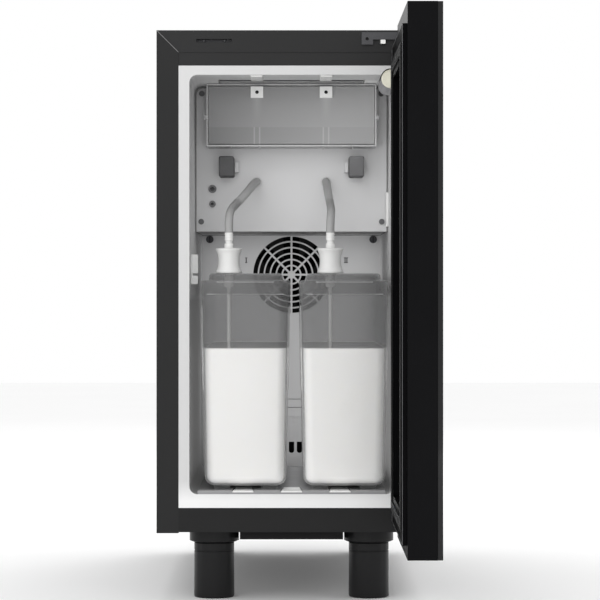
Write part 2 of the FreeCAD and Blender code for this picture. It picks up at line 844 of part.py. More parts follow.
def axial_fan(name, size, front, height):
    """A square frame with a shaft, and a rotor with pitched blades."""
    bore = f"({size}/2 - fan_wall)"
    back = f"({front} + fan_t)"
    frame = Piece(f"{name}_frame", z=height)
    frame.pad("XZ", front, back, rect(f"-{size}/2", f"-{size}/2", f"{size}/2", f"{size}/2"))
    frame.pocket("XZ", front, back, circle(0, 0, bore))
    frame.pad("XZ", f"{back} - fan_plate", back, circle(0, 0, "fan_hub_r"))
    strut = frame.pad("XZ", f"{back} - fan_plate", back,
                      rect("-fan_strut/2", "fan_hub_r - fan_wall", "fan_strut/2", f"{bore} + fan_wall/2"))
    frame.around(strut, 4, strut.Profile[0])
    frame.pad("XZ", f"{front} + fan_wall", f"{back} - fan_plate", circle(0, 0, "fan_shaft_r"))

    rotor = Piece(f"{name}_rotor", z=height)
    low, high = f"({front} + fan_wall)", f"({back} - fan_plate - blade_gap)"
    rotor.pad("XZ", low, high, circle(0, 0, "fan_hub_r"))
    blade = rotor.pad("XY", "fan_hub_r - fan_wall", f"{bore} - fan_tip", poly(
        ("-fan_hub_r/2", f"{low} + blade_gap"), ("-fan_hub_r/2 + blade_t", f"{low} + blade_gap"),
        ("fan_hub_r/2", f"{high} - blade_gap"), ("fan_hub_r/2 - blade_t", f"{high} - blade_gap")))
    face = rotor.sketch("XZ", 0, [])
    rotor.around(blade, 7, face)
    rotor.pocket("XZ", low, high, circle(0, 0, "fan_bore_r"))


def compressor():
    piece = Piece("compressor", "can_x", "can_y")
    low, high = "can_low", "can_high"
    piece.revolve("XZ", (0, low), ("can_r - can_dome", low), ("can_r", f"{low} + can_dome/2"),
                  ("can_r", f"{high} - can_dome"), ("can_r - can_dome/2", f"{high} - can_dome/4"),
                  ("can_r - can_dome", high), (0, high))
    piece.pad("XY", SKIN_LOW, f"{SKIN_LOW} + can_plate_t",
              rect("-can_plate/2", "-can_plate_d/2", "can_plate/2", "can_plate_d/2"))
    piece.pad("XY", f"{SKIN_LOW} + can_plate_t", low, circle(0, 0, "can_dome"))


def control_box():
    piece = Piece("control_box")
    piece.pad("XZ", "box_front", "box_back", middle_rect("box_w", "box_low", "box_high"))
    piece.dress("Fillet", "sheet_t", runs_along(1))


def power_inlet():
    piece = Piece("power_inlet", "inlet_x", 0, "inlet_z")
    piece.pad("XZ", "cab_d", "inlet_back", rect("-inlet_w/2", "-inlet_h/2", "inlet_w/2", "inlet_h/2"))
    piece.pad("XZ", "inlet_back - inlet_depth", "cab_d",
              rect("-inlet_w/2 + inlet_lip", "-inlet_h/2 + inlet_lip",
                   "inlet_w/2 - inlet_lip", "inlet_h/2 - inlet_lip"))
    piece.pocket("XZ", "inlet_back - inlet_depth + inlet_back - cab_d", "inlet_back",
                 rect("-socket_w/2", "-socket_h/2", "socket_w/2", "socket_h/2"))
    spots = [("-contact_x", "-contact_z"), ("0", "contact_z"), ("contact_x", "-contact_z")]
    piece.pad("XZ", "inlet_back - inlet_depth", "inlet_back - inlet_depth/2", *[
        middle_rect("contact_w", f"{z} - contact_h/2", f"{z} + contact_h/2", x) for x, z in spots])


def refrigerant_lines():
    radius = value("line_r")
    lines = [tube_shape(route, radius, name) for name, route in (("suction line", SUCTION_LINE),
                                                                 ("discharge line", DISCHARGE_LINE))]
    shape_node("refrigerant_lines", Part.makeCompound(lines))


# ---- inside the cavity -----------------------------------------------------------------------------

def duct_panel():
    """Grille, flutes and air slots; its heights are counted from the fan's axis."""
    piece = Piece("duct_panel", z="fan_z")
    front, back = "duct_face", "(duct_face + duct_t)"
    piece.pad("XZ", front, back, middle_rect("duct_w", "open_low + duct_gap - fan_z", "duct_top - fan_z"))
    piece.dress("Fillet", "open_r", runs_along(1, lambda at: at.z < 0))
    piece.pocket("XZ", front, back, circle(0, 0, "grille_r"))
    rings = []
    for i in range(5):
        radius = f"grille_ring + {i}*grille_pitch"
        rings += [circle(0, 0, f"{radius} + grille_wire/2"), circle(0, 0, f"{radius} - grille_wire/2")]
    spoke = piece.pad("XZ", front, back, rect(
        "-spoke_w/2", "grille_hub/2", "spoke_w/2", "grille_r + grille_wire/2"))
    piece.around(spoke, 8, spoke.Profile[0])
    piece.pad("XZ", front, back, circle(0, 0, "grille_hub"))
    piece.pad("XZ", front, back, *rings)
    first = "-10*slot_pitch"
    slot = piece.pocket("XZ", front, back, rect(f"{first} - slot_w/2", "slot_low + slot_w/2 - fan_z",
                                                f"{first} + slot_w/2", "slot_high - fan_z"))
    piece.row(slot, "slot_pitch", 21)
    end = piece.pocket("XZ", front, back, circle(first, "slot_low + slot_w/2 - fan_z", "slot_w/2"))
    piece.row(end, "slot_pitch", 21)
    flute = piece.pocket("XZ", front, f"{front} + flute_t", rect(
        f"{first} - slot_w/2", "slot_high - fan_z", f"{first} + slot_w/2", "flute_high - fan_z"))
    piece.row(flute, "slot_pitch", 21)


def duct_screws():
    piece = Piece("duct_screws")
    piece.pad("XZ", "duct_face - duct_screw_t", "duct_face",
              *[circle(f"{side}*duct_screw_x", "duct_screw_z", "duct_screw_r") for side in (-1, 1)])


def service_panel():
    piece = Piece("service_panel")
    piece.pad("XZ", "service_face", "service_back", middle_rect("service_w", "service_low", "service_high"))
    top = value("service_high")
    piece.dress("Fillet", "open_r", runs_along(1, lambda at: abs(at.z - top) < 1e-6))
    piece.pocket("XZ", "service_face + service_t", "service_back",
                 middle_rect("service_w - 2*service_t", "service_low + service_t", "service_high - open_r"))
    through = ("service_face", "service_face + service_t")
    piece.pocket("XZ", *through, circle("nozzle_x", "nozzle_z", "nozzle_r"),
                 circle("-nozzle_x", "nozzle_z", "nozzle_r"), circle("port_x", "port_z", "port_r"),
                 circle("port_x", "drain_z", "drain_r"))
    near = "(latch_x - latch_stem_w/2 - latch_gap)"
    far = "(latch_x + latch_stem_w/2 + latch_travel + latch_gap)"
    piece.pocket("XZ", *through, *[
        rect(f"{side}*{near}", "latch_stem_low - latch_gap",
             f"{side}*{far}", "latch_stem_high + latch_gap") for side in (-1, 1)])


def service_screws():
    piece = Piece("service_screws")
    spots = [(f"{side}*{x}", z) for side in (-1, 1)
             for x, z in (("screw_low_x", "screw_low_z"), ("screw_high_x", "screw_high_z"))]
    piece.pad("XZ", "service_face - screw_t", "service_face", *[circle(x, z, "screw_r") for x, z in spots])
    piece.pocket("XZ", "service_face - screw_t", "service_face - screw_t/2", *[
        middle_rect("screw_r", f"{z} - screw_slot/2", f"{z} + screw_slot/2", x) for x, z in spots])


def panel_ports():
    """Two hose nozzles and two rinse ports that pass through the service panel."""
    piece = Piece("panel_ports")
    nozzles = [(f"{side}*nozzle_x", "nozzle_z") for side in (-1, 1)]
    piece.pad("XZ", "nozzle_tip", "nozzle_back", *[circle(x, z, "nozzle_r") for x, z in nozzles])
    piece.pad("XZ", "service_face - nozzle_collar_t", "service_face",
              *[circle(x, z, "nozzle_collar_r") for x, z in nozzles])
    piece.pocket("XZ", "nozzle_tip", "nozzle_back",
                 *[circle(x, z, "nozzle_r - nozzle_wall") for x, z in nozzles])
    ports = (("port_z", "port_r", "port_bore"), ("drain_z", "drain_r", "drain_bore"))
    piece.pad("XZ", "service_face - port_proud", "port_back",
              *[circle("port_x", z, r) for z, r, bore in ports])
    piece.pocket("XZ", "service_face - port_proud", "port_back - service_t",
                 *[circle("port_x", z, bore) for z, r, bore in ports])


def milk_pumps():
    piece = Piece("milk_pumps")
    low, high = "pump_z - pump_head/2", "pump_z + pump_head/2"
    heads = [middle_rect("pump_head_w", low, high, f"{side}*pump_x") for side in (-1, 1)]
    piece.pad("XZ", "nozzle_back", "nozzle_back + pump_head_t", *heads)
    piece.pad("XZ", "nozzle_back + pump_head_t", "pump_back",
              *[circle(f"{side}*pump_x", "pump_z", "pump_r") for side in (-1, 1)])


def thumb_latch(name, side):
    """Drawn about its own middle, with the stem that runs in the panel's slot."""
    piece = Piece(name, f"{side}*latch_x")
    head = "service_face - latch_gap"
    piece.pad("XZ", "latch_front", head, rect("-latch_w/2", "latch_low", "latch_w/2", "latch_high"))
    piece.dress("Fillet", "latch_edge", lambda edge: edge.BoundBox.YMax < value(head) - 1e-3
                or runs_along(1)(edge))
    piece.pad("XZ", head, "latch_plate_y",
              rect("-latch_stem_w/2", "latch_stem_low", "latch_stem_w/2", "latch_stem_high"))
    piece.pad("XZ", "latch_plate_y", "latch_plate_y + latch_plate_t",
              rect("-latch_plate_w/2", "latch_stem_low - latch_plate_t",
                   "latch_plate_w/2", "latch_stem_high + latch_plate_t"))


def latch_keepers():
    piece = Piece("latch_keepers")
    near, far = "(latch_x - latch_w/2 - latch_gap)", "(latch_x - latch_w/2 - latch_gap - keeper_w)"
    piece.pad("XZ", "keeper_front", "service_face", *[
        rect(f"{side}*{near}", "keeper_low", f"{side}*{far}", "keeper_high") for side in (-1, 1)])


def cartridge_bay():
    piece = Piece("cartridge_bay")
    piece.pad("XZ", "bay_front", "service_face", middle_rect("bay_w", "bay_low", "bay_high"))
    piece.pocket("XZ", "bay_front", "service_face - bay_wall",
                 middle_rect("bay_w - 2*bay_wall", "bay_low + bay_wall", "bay_high - bay_wall"))
    for side in (-1, 1):
        piece.pad("YZ", f"{side}*(bay_w/2 + ear_t/2) - ear_t/2", f"{side}*(bay_w/2 + ear_t/2) + ear_t/2",
                  circle("flap_axis_y", "flap_axis_z", "ear_r"))
        piece.pocket("YZ", f"{side}*(bay_w/2 + ear_t/2 - bay_wall/2) - (ear_t + bay_wall)/2",
                     f"{side}*(bay_w/2 + ear_t/2 - bay_wall/2) + (ear_t + bay_wall)/2",
                     circle("flap_axis_y", "flap_axis_z", "ear_bore_r"))
    piece.pad("XY", "bay_low + bay_wall", "tube_high",
              *[circle(f"{side}*boss_x", "tube_y", "tube_r") for side in (-1, 1)])


def bay_flap():
    piece = Piece("bay_flap")
    piece.pad("XZ", "bay_front", "bay_front + flap_t", middle_rect("flap_w", "flap_low", "flap_high"))
    piece.pad("YZ", "-flap_w/2", "flap_w/2", circle("flap_axis_y", "flap_axis_z", "flap_rib_r"))
    reach = "(bay_w/2 + ear_t)"
    piece.pad("YZ", f"-{reach}", reach, circle("flap_axis_y", "flap_axis_z", "flap_pin_r"))


def flap_bosses():
    piece = Piece("flap_bosses")
    piece.pad("XZ", "bay_front - boss_proud", "bay_front",
              *[middle_rect("boss_w", "boss_low", "boss_high", f"{side}*boss_x") for side in (-1, 1)])
    piece.pocket("XZ", "bay_front - boss_proud", "bay_front",
                 *[circle(f"{side}*boss_x", "(boss_low + boss_high)/2", "boss_hole_r") for side in (-1, 1)])


def lamp():
    housing = Piece("lamp_housing")
    front = "(lamp_front + lamp_lens_t)"
    housing.pad("XZ", front, "lamp_back", circle("lamp_x", "lamp_z", "lamp_body_r"))
    housing.pocket("XZ", front, "lamp_back - lamp_lens_t",
                   circle("lamp_x", "lamp_z", "lamp_body_r - liner_t"))
    lens = Piece("lamp_lens")
    lens.pad("XZ", "lamp_front", front, circle("lamp_x", "lamp_z", "lamp_r"))
    edge_y = value("lamp_front")
    lens.dress("Fillet", "lamp_edge", lambda edge: edge.BoundBox.YMax < edge_y + 1e-3)


def wall_clips():
    """A cable clip on the left wall and a small stay on the right one."""
    piece = Piece("wall_clips")
    wall = "-open_w/2"
    for low, high in (("clip_low", "clip_slot_low"), ("clip_slot_high", "clip_high")):
        piece.pad("XY", low, high, rect(wall, "clip_front", f"{wall} + clip_proud", "clip_back"))
    piece.pad("XY", "clip_low", "clip_high", rect(wall, "clip_front", f"{wall} + clip_plate", "clip_back"))
    piece.pad("XY", "stay_low", "stay_high",
              rect("open_w/2 - stay_w", "stay_front", "open_w/2", "stay_back"))


def floor_tray():
    piece = Piece("floor_tray")
    notches = []
    front = "tray_front"
    piece.pad("XY", "open_low", "tray_top", rect("-tray_w/2", front, "tray_w/2", "tray_back"))
    for i in (-1, 0, 1):
        middle = f"{i}*notch_pitch"
        notches.append(poly(
            (f"{middle} - notch_front_w/2", front), (f"{middle} + notch_front_w/2", front),
            (f"{middle} + notch_back_w/2", "notch_end"), (f"{middle} - notch_back_w/2", "notch_end")))
    piece.pocket("XY", "(open_low + tray_top)/2", "tray_top", *notches)


# ---- milk containers -------------------------------------------------------------------------------

def vessel(name, inset, low, high, x):
    """The tapered, rounded body of a container, drawn in from its outside by inset."""
    piece = Piece(name, x, "tub_front", is_node=False)
    spread = f"(({low}) - tub_low)*tan(tub_taper) - ({inset})"
    half, end = f"(tub_low_w/2 + {spread})", f"(tub_draft - ({spread}))"
    wall = piece.pad("XY", low, high, rect(f"-{half}", end, half, f"tub_l - {end}"))
    bind(wall, "TaperAngle", "tub_taper")
    floor_level = value(low)
    piece.dress("Fillet", f"tub_r - ({inset})", lambda edge: edge.BoundBox.ZLength > 1)
    piece.dress("Fillet", f"tub_r - tub_wall - ({inset})",
                lambda edge: edge.BoundBox.ZMax < floor_level + 1e-3)
    return piece.body


def container(side, x, route):
    name = f"container_{side}"
    outer = vessel(f"{side}_outside", 0, "tub_low", "tub_high", x)
    inner = vessel(f"{side}_inside", "tub_wall", "tub_low + tub_wall", "tub_high", x)
    wall = cut(f"{side}_wall", outer, inner)
    runners = []
    for at in (-1, 1):
        middle = f"{x} + {at}*runner_x"
        runners.append(box(
            f"{side}_runner", (f"{middle} - runner_w/2", "tub_front + runner_inset", "tray_top"),
            (f"{middle} + runner_w/2", "tub_front + tub_l - runner_inset", "tub_low + tub_wall/2")))
    node(f"{name}_tub", fuse(f"{name}_tub", [wall] + runners))

    cap_at = (f"{x} + {side}_cap_x", "tub_front + cap_y")
    filling = vessel(f"{side}_filling", "tub_wall + milk_gap", "tub_low + tub_wall + milk_gap", "milk_top", x)
    bore = rod(f"{side}_suction_way", "Z", *cap_at, "suction_low - suction_way", "suction_r + suction_way",
               "tub_high")
    node(f"{name}_milk", cut(f"{name}_milk", filling, bore))

    lid = Piece(f"{name}_lid", x, "tub_front")
    half, dome = "lid_w/2", "lid_dome_w/2"
    lid.pad("XY", "tub_high", "lid_rim", rect(f"-{half}", "-lid_over", half, "tub_l + lid_over"))
    lid.dress("Fillet", "lid_r", runs_along(2))
    lid.pad("XY", "lid_rim", "lid_top", rect(f"-{dome}", "lid_inset", dome, "tub_l - lid_r"))
    dome_low = value("lid_rim")
    lid.dress("Fillet", "lid_inset", lambda edge: edge.BoundBox.ZMin > dome_low - 1e-3
              and (edge.BoundBox.ZLength > 1 or edge.BoundBox.ZMin > dome_low + 1))
    lid.pocket("XY", "tub_high", "lid_rim - lid_wall",
               rect(f"-{half} + lid_r/2", "lid_r/2", f"{half} - lid_r/2", "tub_l - lid_r/2"))
    lid.pocket("XY", "tub_high", "lid_top", circle(f"{side}_cap_x", "cap_y", "neck_r"))

    cap = Piece(f"{name}_cap", *cap_at)
    cap.revolve("XZ", ("neck_r", "lid_top"), ("cap_r", "lid_top"), ("cap_r", "lid_top + cap_flange"),
                ("cap_waist_r", "lid_top + cap_flange + cap_cone"),
                ("cap_waist_r", "cap_high - cap_flange - cap_cone"),
                ("cap_r", "cap_high - cap_flange"), ("cap_r", "cap_high"), ("neck_r", "cap_high"))

    fitting = Piece(f"{name}_fitting", *cap_at)
    fitting.revolve("XZ", (0, "suction_low"), ("suction_r", "suction_low"), ("suction_r", "neck_low"),
                    ("neck_r", "neck_low"), ("neck_r", "cap_high"), ("collar_r", "cap_high"),
                    ("collar_r", "collar_high"), ("throat_r", "collar_high"), ("throat_r", "throat_high"),
                    ("ferrule_r", "throat_high"), ("ferrule_r", "ferrule_high"), (0, "ferrule_high"))
    shape_node(f"{name}_hose", tube_shape(route, value("hose_d")/2, f"{side} hose"))


# ---- door ------------------------------------------------------------------------------------------

def door_piece(name):
    """A door piece is drawn closed, in the cabinet's coordinates, and placed open at a right angle."""
    return Piece(name, "hinge_x + hinge_y", "hinge_y - hinge_x", 0, turn=90)


def ring(width, low, high, band):
    outer = middle_rect(width, low, high)
    return [outer, middle_rect(f"{width} - 2*({band})", f"{low} + {band}", f"{high} - ({band})")]


def door_frame():
    piece = door_piece("door_frame")
    piece.pad("XZ", "door_mid", "door_inner", *ring("cab_w", "door_low", "door_top", "door_rim"))
    notches = [rect("notch_left", "door_top - notch_h", HALF, "door_top"),
               rect("notch_left", "door_low", HALF, "door_low + notch_h")]
    piece.pocket("XZ", "door_mid", "door_inner", *notches)
    for low, high in (("door_top - notch_h - bush_depth", "door_top - notch_h"),
                      ("door_low + notch_h", "door_low + notch_h + bush_depth")):
        piece.pocket("XY", low, high, circle("hinge_x", "hinge_y", "bush_r"))


def door_core():
    piece = door_piece("door_core")
    piece.pad("XZ", "door_mid", "dish_back", middle_rect(
        "cab_w - 2*door_rim", "door_low + door_rim", "door_top - door_rim"))


def door_inner_panel():
    piece = door_piece("door_inner_panel")
    piece.pad("XZ", "door_inner", "panel_face", middle_rect("panel_w", "panel_low", "panel_high"))
    piece.pad("XZ", "dish_back", "door_inner", middle_rect(
        "cab_w - 2*door_rim", "door_low + door_rim", "door_top - door_rim"))
    piece.pocket("XZ", "dish_face", "panel_face", middle_rect("dish_w", "dish_low", "dish_high"))
    half, depth = value("dish_w")/2, value("dish_face")
    piece.dress("Fillet", "dish_r", runs_along(1, lambda at: abs(abs(at.x) - half) < 1e-6
                                           and at.y > depth - 1e-6))
    piece.pocket("XZ", "seal_groove", "panel_face", *ring(
        "(seal_w - 2*seal_root)", "(seal_low + seal_root)", "(seal_high - seal_root)",
        "(seal_band - 2*seal_root)"))


def door_gasket():
    piece = door_piece("door_gasket")
    piece.pad("XZ", "seal_groove", "panel_face", *ring(
        "(seal_w - 2*seal_root)", "(seal_low + seal_root)", "(seal_high - seal_root)",
        "(seal_band - 2*seal_root)"))
    piece.pad("XZ", "panel_face", "seal_tip", *ring("seal_w", "seal_low", "seal_high", "seal_band"))


def door_glass():
    piece = door_piece("door_glass")
    piece.pad("XZ", "door_outer", "door_mid", middle_rect("cab_w", "door_low", "door_top"))
    piece.dress("Fillet", "glass_edge", runs_along(1))


def hinge_brackets():
    """Front plates with a tongue and a pin each; the upper one narrows to an arm."""
    piece = Piece("hinge_brackets")
    piece.pad("XZ", "-bracket_t", 0, poly(
        ("bracket_left", "bracket_low"), ("bracket_step", "bracket_low"),
        ("bracket_step", "bracket_arm"), ("bracket_right", "bracket_arm"),
        ("bracket_right", "bracket_high"), ("bracket_left", "bracket_high")))
    piece.pocket("XZ", "-bracket_t", 0, circle("bracket_hole_x", "bracket_hole_z", "bracket_hole_r"))
    piece.pad("XZ", "-bracket_t", 0, rect("lower_left", "lower_low", "bracket_right", "lower_high"))
    for low, pin_low in (("tongue_high", "tongue_high - pin_reach"),
                         ("tongue_low", "tongue_low + tongue_t")):
        top = f"{low} + tongue_t"
        piece.pad("XY", low, top, rect("hinge_x - tongue_w/2", "tongue_reach + tongue_w/2",
                                       "hinge_x + tongue_w/2", "-bracket_t/2"))
        piece.pad("XY", low, top, circle("hinge_x", "tongue_reach + tongue_w/2", "tongue_w/2"))
        piece.pad("XY", pin_low, f"{pin_low} + pin_reach", circle("hinge_x", "hinge_y", "pin_r"))


def door_switch_plunger():
    piece = Piece("door_switch_plunger", "switch_x", 0, "switch_z")
    piece.pad("XZ", "-switch_proud", "switch_depth",
              rect("-switch_w/2", "-switch_h/2", "switch_w/2", "switch_h/2"))
    piece.dress("Fillet", "switch_edge", runs_along(1))


def write_steps():
    doc.recompute()
    for obj in doc.Objects:
        if {"Invalid", "Error"} & set(obj.State):
            raise RuntimeError(f"{obj.Label}: {obj.State}")
    for name, obj in NODES.items():
        if obj.Shape.isNull() or not obj.Shape.isValid() or not obj.Shape.Solids:
            raise RuntimeError(f"{name}: no valid solid")
    os.makedirs("parts", exist_ok=True)
    for name, obj in NODES.items():
        obj.Shape.exportStep(f"parts/{name}.step")
        print(f"{name}: {len(obj.Shape.Solids)} solids, {obj.Shape.Volume/1000:.1f} cm3")


fill_sheet()
for make in (cabinet_shell, front_stiles, front_top_rail, front_header, front_bottom_rail, lock_receiver,
             inner_liner, insulation_foam, base_plate, feet, rear_cover, compressor, control_box, power_inlet,
             refrigerant_lines, duct_panel, duct_screws, service_panel, service_screws, panel_ports,
             milk_pumps, latch_keepers, cartridge_bay, bay_flap, flap_bosses, lamp, wall_clips, floor_tray,
             door_frame, door_core, door_inner_panel, door_gasket, door_glass, hinge_brackets,
             door_switch_plunger):
    make()
thumb_latch("latch_left", -1)
thumb_latch("latch_right", 1)
finned_block("evaporator", "evap_w", "evap_low", "evap_high", "evap_front", "evap_back")
finned_block("condenser", "cond_w", "cond_low", "cond_high", "cond_front", "cond_back")
axial_fan("evaporator_fan", "fan_size", "fan_front", "fan_z")
axial_fan("condenser_fan", "cool_fan_size", "cool_fan_front", "cool_fan_z")
container("left", "left_x", HOSE_ROUTE)
container("right", "right_x", RIGHT_HOSE_ROUTE)
write_steps()
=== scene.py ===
import math

import bpy
import numpy as np
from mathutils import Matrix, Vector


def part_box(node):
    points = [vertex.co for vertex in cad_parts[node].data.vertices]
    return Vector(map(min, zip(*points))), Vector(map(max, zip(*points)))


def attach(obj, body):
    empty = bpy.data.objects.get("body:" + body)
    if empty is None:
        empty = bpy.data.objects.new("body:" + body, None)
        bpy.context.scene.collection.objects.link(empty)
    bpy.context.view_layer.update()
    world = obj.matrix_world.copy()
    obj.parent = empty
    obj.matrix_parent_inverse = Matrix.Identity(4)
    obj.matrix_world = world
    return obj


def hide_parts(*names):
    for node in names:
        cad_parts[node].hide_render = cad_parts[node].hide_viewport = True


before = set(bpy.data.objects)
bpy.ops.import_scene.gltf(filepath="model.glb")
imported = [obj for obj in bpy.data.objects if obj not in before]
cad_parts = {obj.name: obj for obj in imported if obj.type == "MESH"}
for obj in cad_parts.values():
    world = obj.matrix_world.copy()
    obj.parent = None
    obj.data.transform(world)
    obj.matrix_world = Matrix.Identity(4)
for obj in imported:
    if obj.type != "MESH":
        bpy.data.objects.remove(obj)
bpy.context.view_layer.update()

bl_info = {
    "name": "Milk Cooler Looks",
    "version": (1, 0, 0),
    "blender": (4, 5, 0),
    "location": "View3D > Sidebar > Cooler",
    "description": "Surfaces, hoses and finishes for a milk cooler built on its packed frame",
    "category": "Object",
}

MM = 0.001
SIDES = ("left", "right")
CORNERS = ("front_left", "front_right", "rear_left", "rear_right")
LINER_LOW, LINER_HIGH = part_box("inner_liner")
FRONT = LINER_LOW.y          # the cabinet's front plane
TUB_TAPER = 3.25*MM          # how far each side of a tub draws in from rim to foot
TUB_FEET = 3.8*MM            # height of the feet under a tub

# The hoses' routes, from the nozzle on the service panel to the ferrule on the cap, in millimetres from
# the cabinet's front plane.
HOSE_ROUTES = {
    "left": [(-36.6, 156.2, 425.5), (-37.6, 137.0, 424.6), (-41.0, 114.5, 419.6), (-47.4, 89.0, 410.2),
             (-55.4, 65.5, 400.4), (-60.4, 48.5, 394.8), (-62.9, 36.8, 388.4), (-63.3, 32.0, 379.4),
             (-63.3, 32.0, 369.2)],
    "right": [(36.6, 156.2, 425.5), (36.6, 137.0, 424.4), (37.0, 114.5, 419.2), (38.0, 90.0, 409.8),
              (39.3, 66.0, 401.4), (40.2, 48.8, 395.2), (40.1, 37.0, 388.6), (39.3, 32.0, 379.6),
              (39.3, 32.0, 369.2)],
}


# ---- surfaces --------------------------------------------------------------------------------------

def linked(name, data):
    """A new object in the scene."""
    made = bpy.data.objects.new(name, data)
    bpy.context.scene.collection.objects.link(made)
    return made


def rounded_ring(half_x, half_y, radius, steps=6):
    """A rounded rectangle as four quarter circles joined by straight sides, counter-clockwise.

    Returns the points and their outward directions: corner centre + radius * (cos a, sin a)."""
    radius = min(radius, half_x, half_y)
    turn = np.linspace(0, math.pi/2, steps)
    angles = np.concatenate([turn + k*math.pi/2 for k in range(4)])
    signs = np.repeat(np.array([(1, 1), (-1, 1), (-1, -1), (1, -1)]), steps, axis=0)
    out = np.stack([np.cos(angles), np.sin(angles)], axis=1)
    centres = signs*np.array([half_x - radius, half_y - radius])
    return centres + radius*out, out


TURNS = {  # local Z carried onto each axis, as right-handed rotations
    "Z": np.eye(3),
    "Y": np.array([[1, 0, 0], [0, 0, 1], [0, -1, 0]], float),
    "-Y": np.array([[1, 0, 0], [0, 0, -1], [0, 1, 0]], float),
    "X": np.array([[0, 0, 1], [0, 1, 0], [-1, 0, 0]], float),
}


class Form:
    """Gathers grids of points and makes one mesh of them. Lengths are metres in the frame's own axes."""

    def __init__(self):
        self.points, self.faces, self.total = [], [], 0

    def surface(self, grid, low_cap=True, high_cap=True, turn="Z", at=(0, 0, 0), loop=False):
        """A grid of rings: quads join ring i to ring i + 1, and each ring closes on itself.

        With loop the last ring joins the first; otherwise the end rings are closed by one flat face."""
        rings, around = grid.shape[:2]
        i, j = np.meshgrid(np.arange(rings if loop else rings - 1), np.arange(around), indexing="ij")
        nxt, up = (j + 1) % around, (i + 1) % rings
        quads = np.stack([i*around + j, i*around + nxt, up*around + nxt, up*around + j], axis=-1)
        self.faces += (quads.reshape(-1, 4) + self.total).tolist()
        if low_cap and not loop:
            self.faces.append((np.arange(around)[::-1] + self.total).tolist())
        if high_cap and not loop:
            self.faces.append((np.arange(around) + (rings - 1)*around + self.total).tolist())
        self.points.append(grid.reshape(-1, 3) @ TURNS[turn].T + np.array(at, float))
        self.total += rings*around
        return self

    def turned(self, profile, turn="Z", at=(0, 0, 0), steps=48):
        """A turned shape: (r, z) of the profile carried round as (r cos a, r sin a, z)."""
        profile = np.array(profile, float)*MM
        a = np.arange(steps)*2*math.pi/steps
        ring = np.stack([np.cos(a), np.sin(a)], axis=1)
        grid = np.concatenate([profile[:, None, :1]*ring[None], np.broadcast_to(
            profile[:, None, 1:], (len(profile), steps, 1))], axis=2)
        return self.surface(grid, turn=turn, at=at)

    def block(self, low, high, radius, steps=4):
        """A box with round edges: rounded rectangles drawn in by r(1 - cos a) at height r(1 - sin a)."""
        low, high = np.array(low, float), np.array(high, float)
        half, middle = (high - low)/2, (high + low)/2
        radius = min(radius, *(half*0.98))
        a = np.linspace(0, math.pi/2, steps)
        inset = np.concatenate([radius*(1 - np.sin(a)), radius*(1 - np.cos(a))])
        level = np.concatenate([-half[2] + radius*(1 - np.cos(a)), half[2] - radius*(1 - np.sin(a))])
        rings = []
        for d, z in zip(inset, level):
            ring, _ = rounded_ring(half[0] - d, half[1] - d, max(radius - d, radius*0.05), steps)
            rings.append(np.column_stack([ring, np.full(len(ring), z)]))
        return self.surface(np.array(rings), at=middle)

    def object(self, name, body, slot, stands_for=(), sharp=35):
        mesh = bpy.data.meshes.new(name)
        mesh.from_pydata(np.concatenate(self.points), [], self.faces)
        mesh.validate()
        mesh.polygons.foreach_set("use_smooth", np.ones(len(mesh.polygons), bool))
        mesh.set_sharp_from_angle(angle=math.radians(sharp))
        made = linked(name, mesh)
        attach(made, body)
        if stands_for:
            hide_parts(*stands_for)
        return made


# ---- materials -------------------------------------------------------------------------------------

class Wire:
    """A number socket. Arithmetic on it adds Math nodes to its material."""

    def __init__(self, finish, socket):
        self.finish, self.socket = finish, socket

    def math(self, operation, *values):
        return self.finish.node("ShaderNodeMath", {"operation": operation}, dict(enumerate(values)))

    def __add__(self, other):
        return self.math("ADD", self, other)

    def __radd__(self, other):
        return self.math("ADD", other, self)

    def __sub__(self, other):
        return self.math("SUBTRACT", self, other)

    def __rsub__(self, other):
        return self.math("SUBTRACT", other, self)

    def __mul__(self, other):
        return self.math("MULTIPLY", self, other)

    def __rmul__(self, other):
        return self.math("MULTIPLY", other, self)

    def __truediv__(self, other):
        return self.math("DIVIDE", self, other)

    def __pow__(self, other):
        return self.math("POWER", self, other)

    def __abs__(self):
        return self.math("ABSOLUTE", self)

    def at_least(self, other):
        return self.math("MAXIMUM", self, other)

    def at_most(self, other):
        return self.math("MINIMUM", self, other)

    def sine(self):
        return self.math("SINE", self)

    def clamped(self):
        return self.finish.node("ShaderNodeClamp", {}, {0: self})

    def ramp(self, start, run):
        """0 up to start, 1 from start + run, and a straight line between."""
        return ((self - start)/run).clamped()


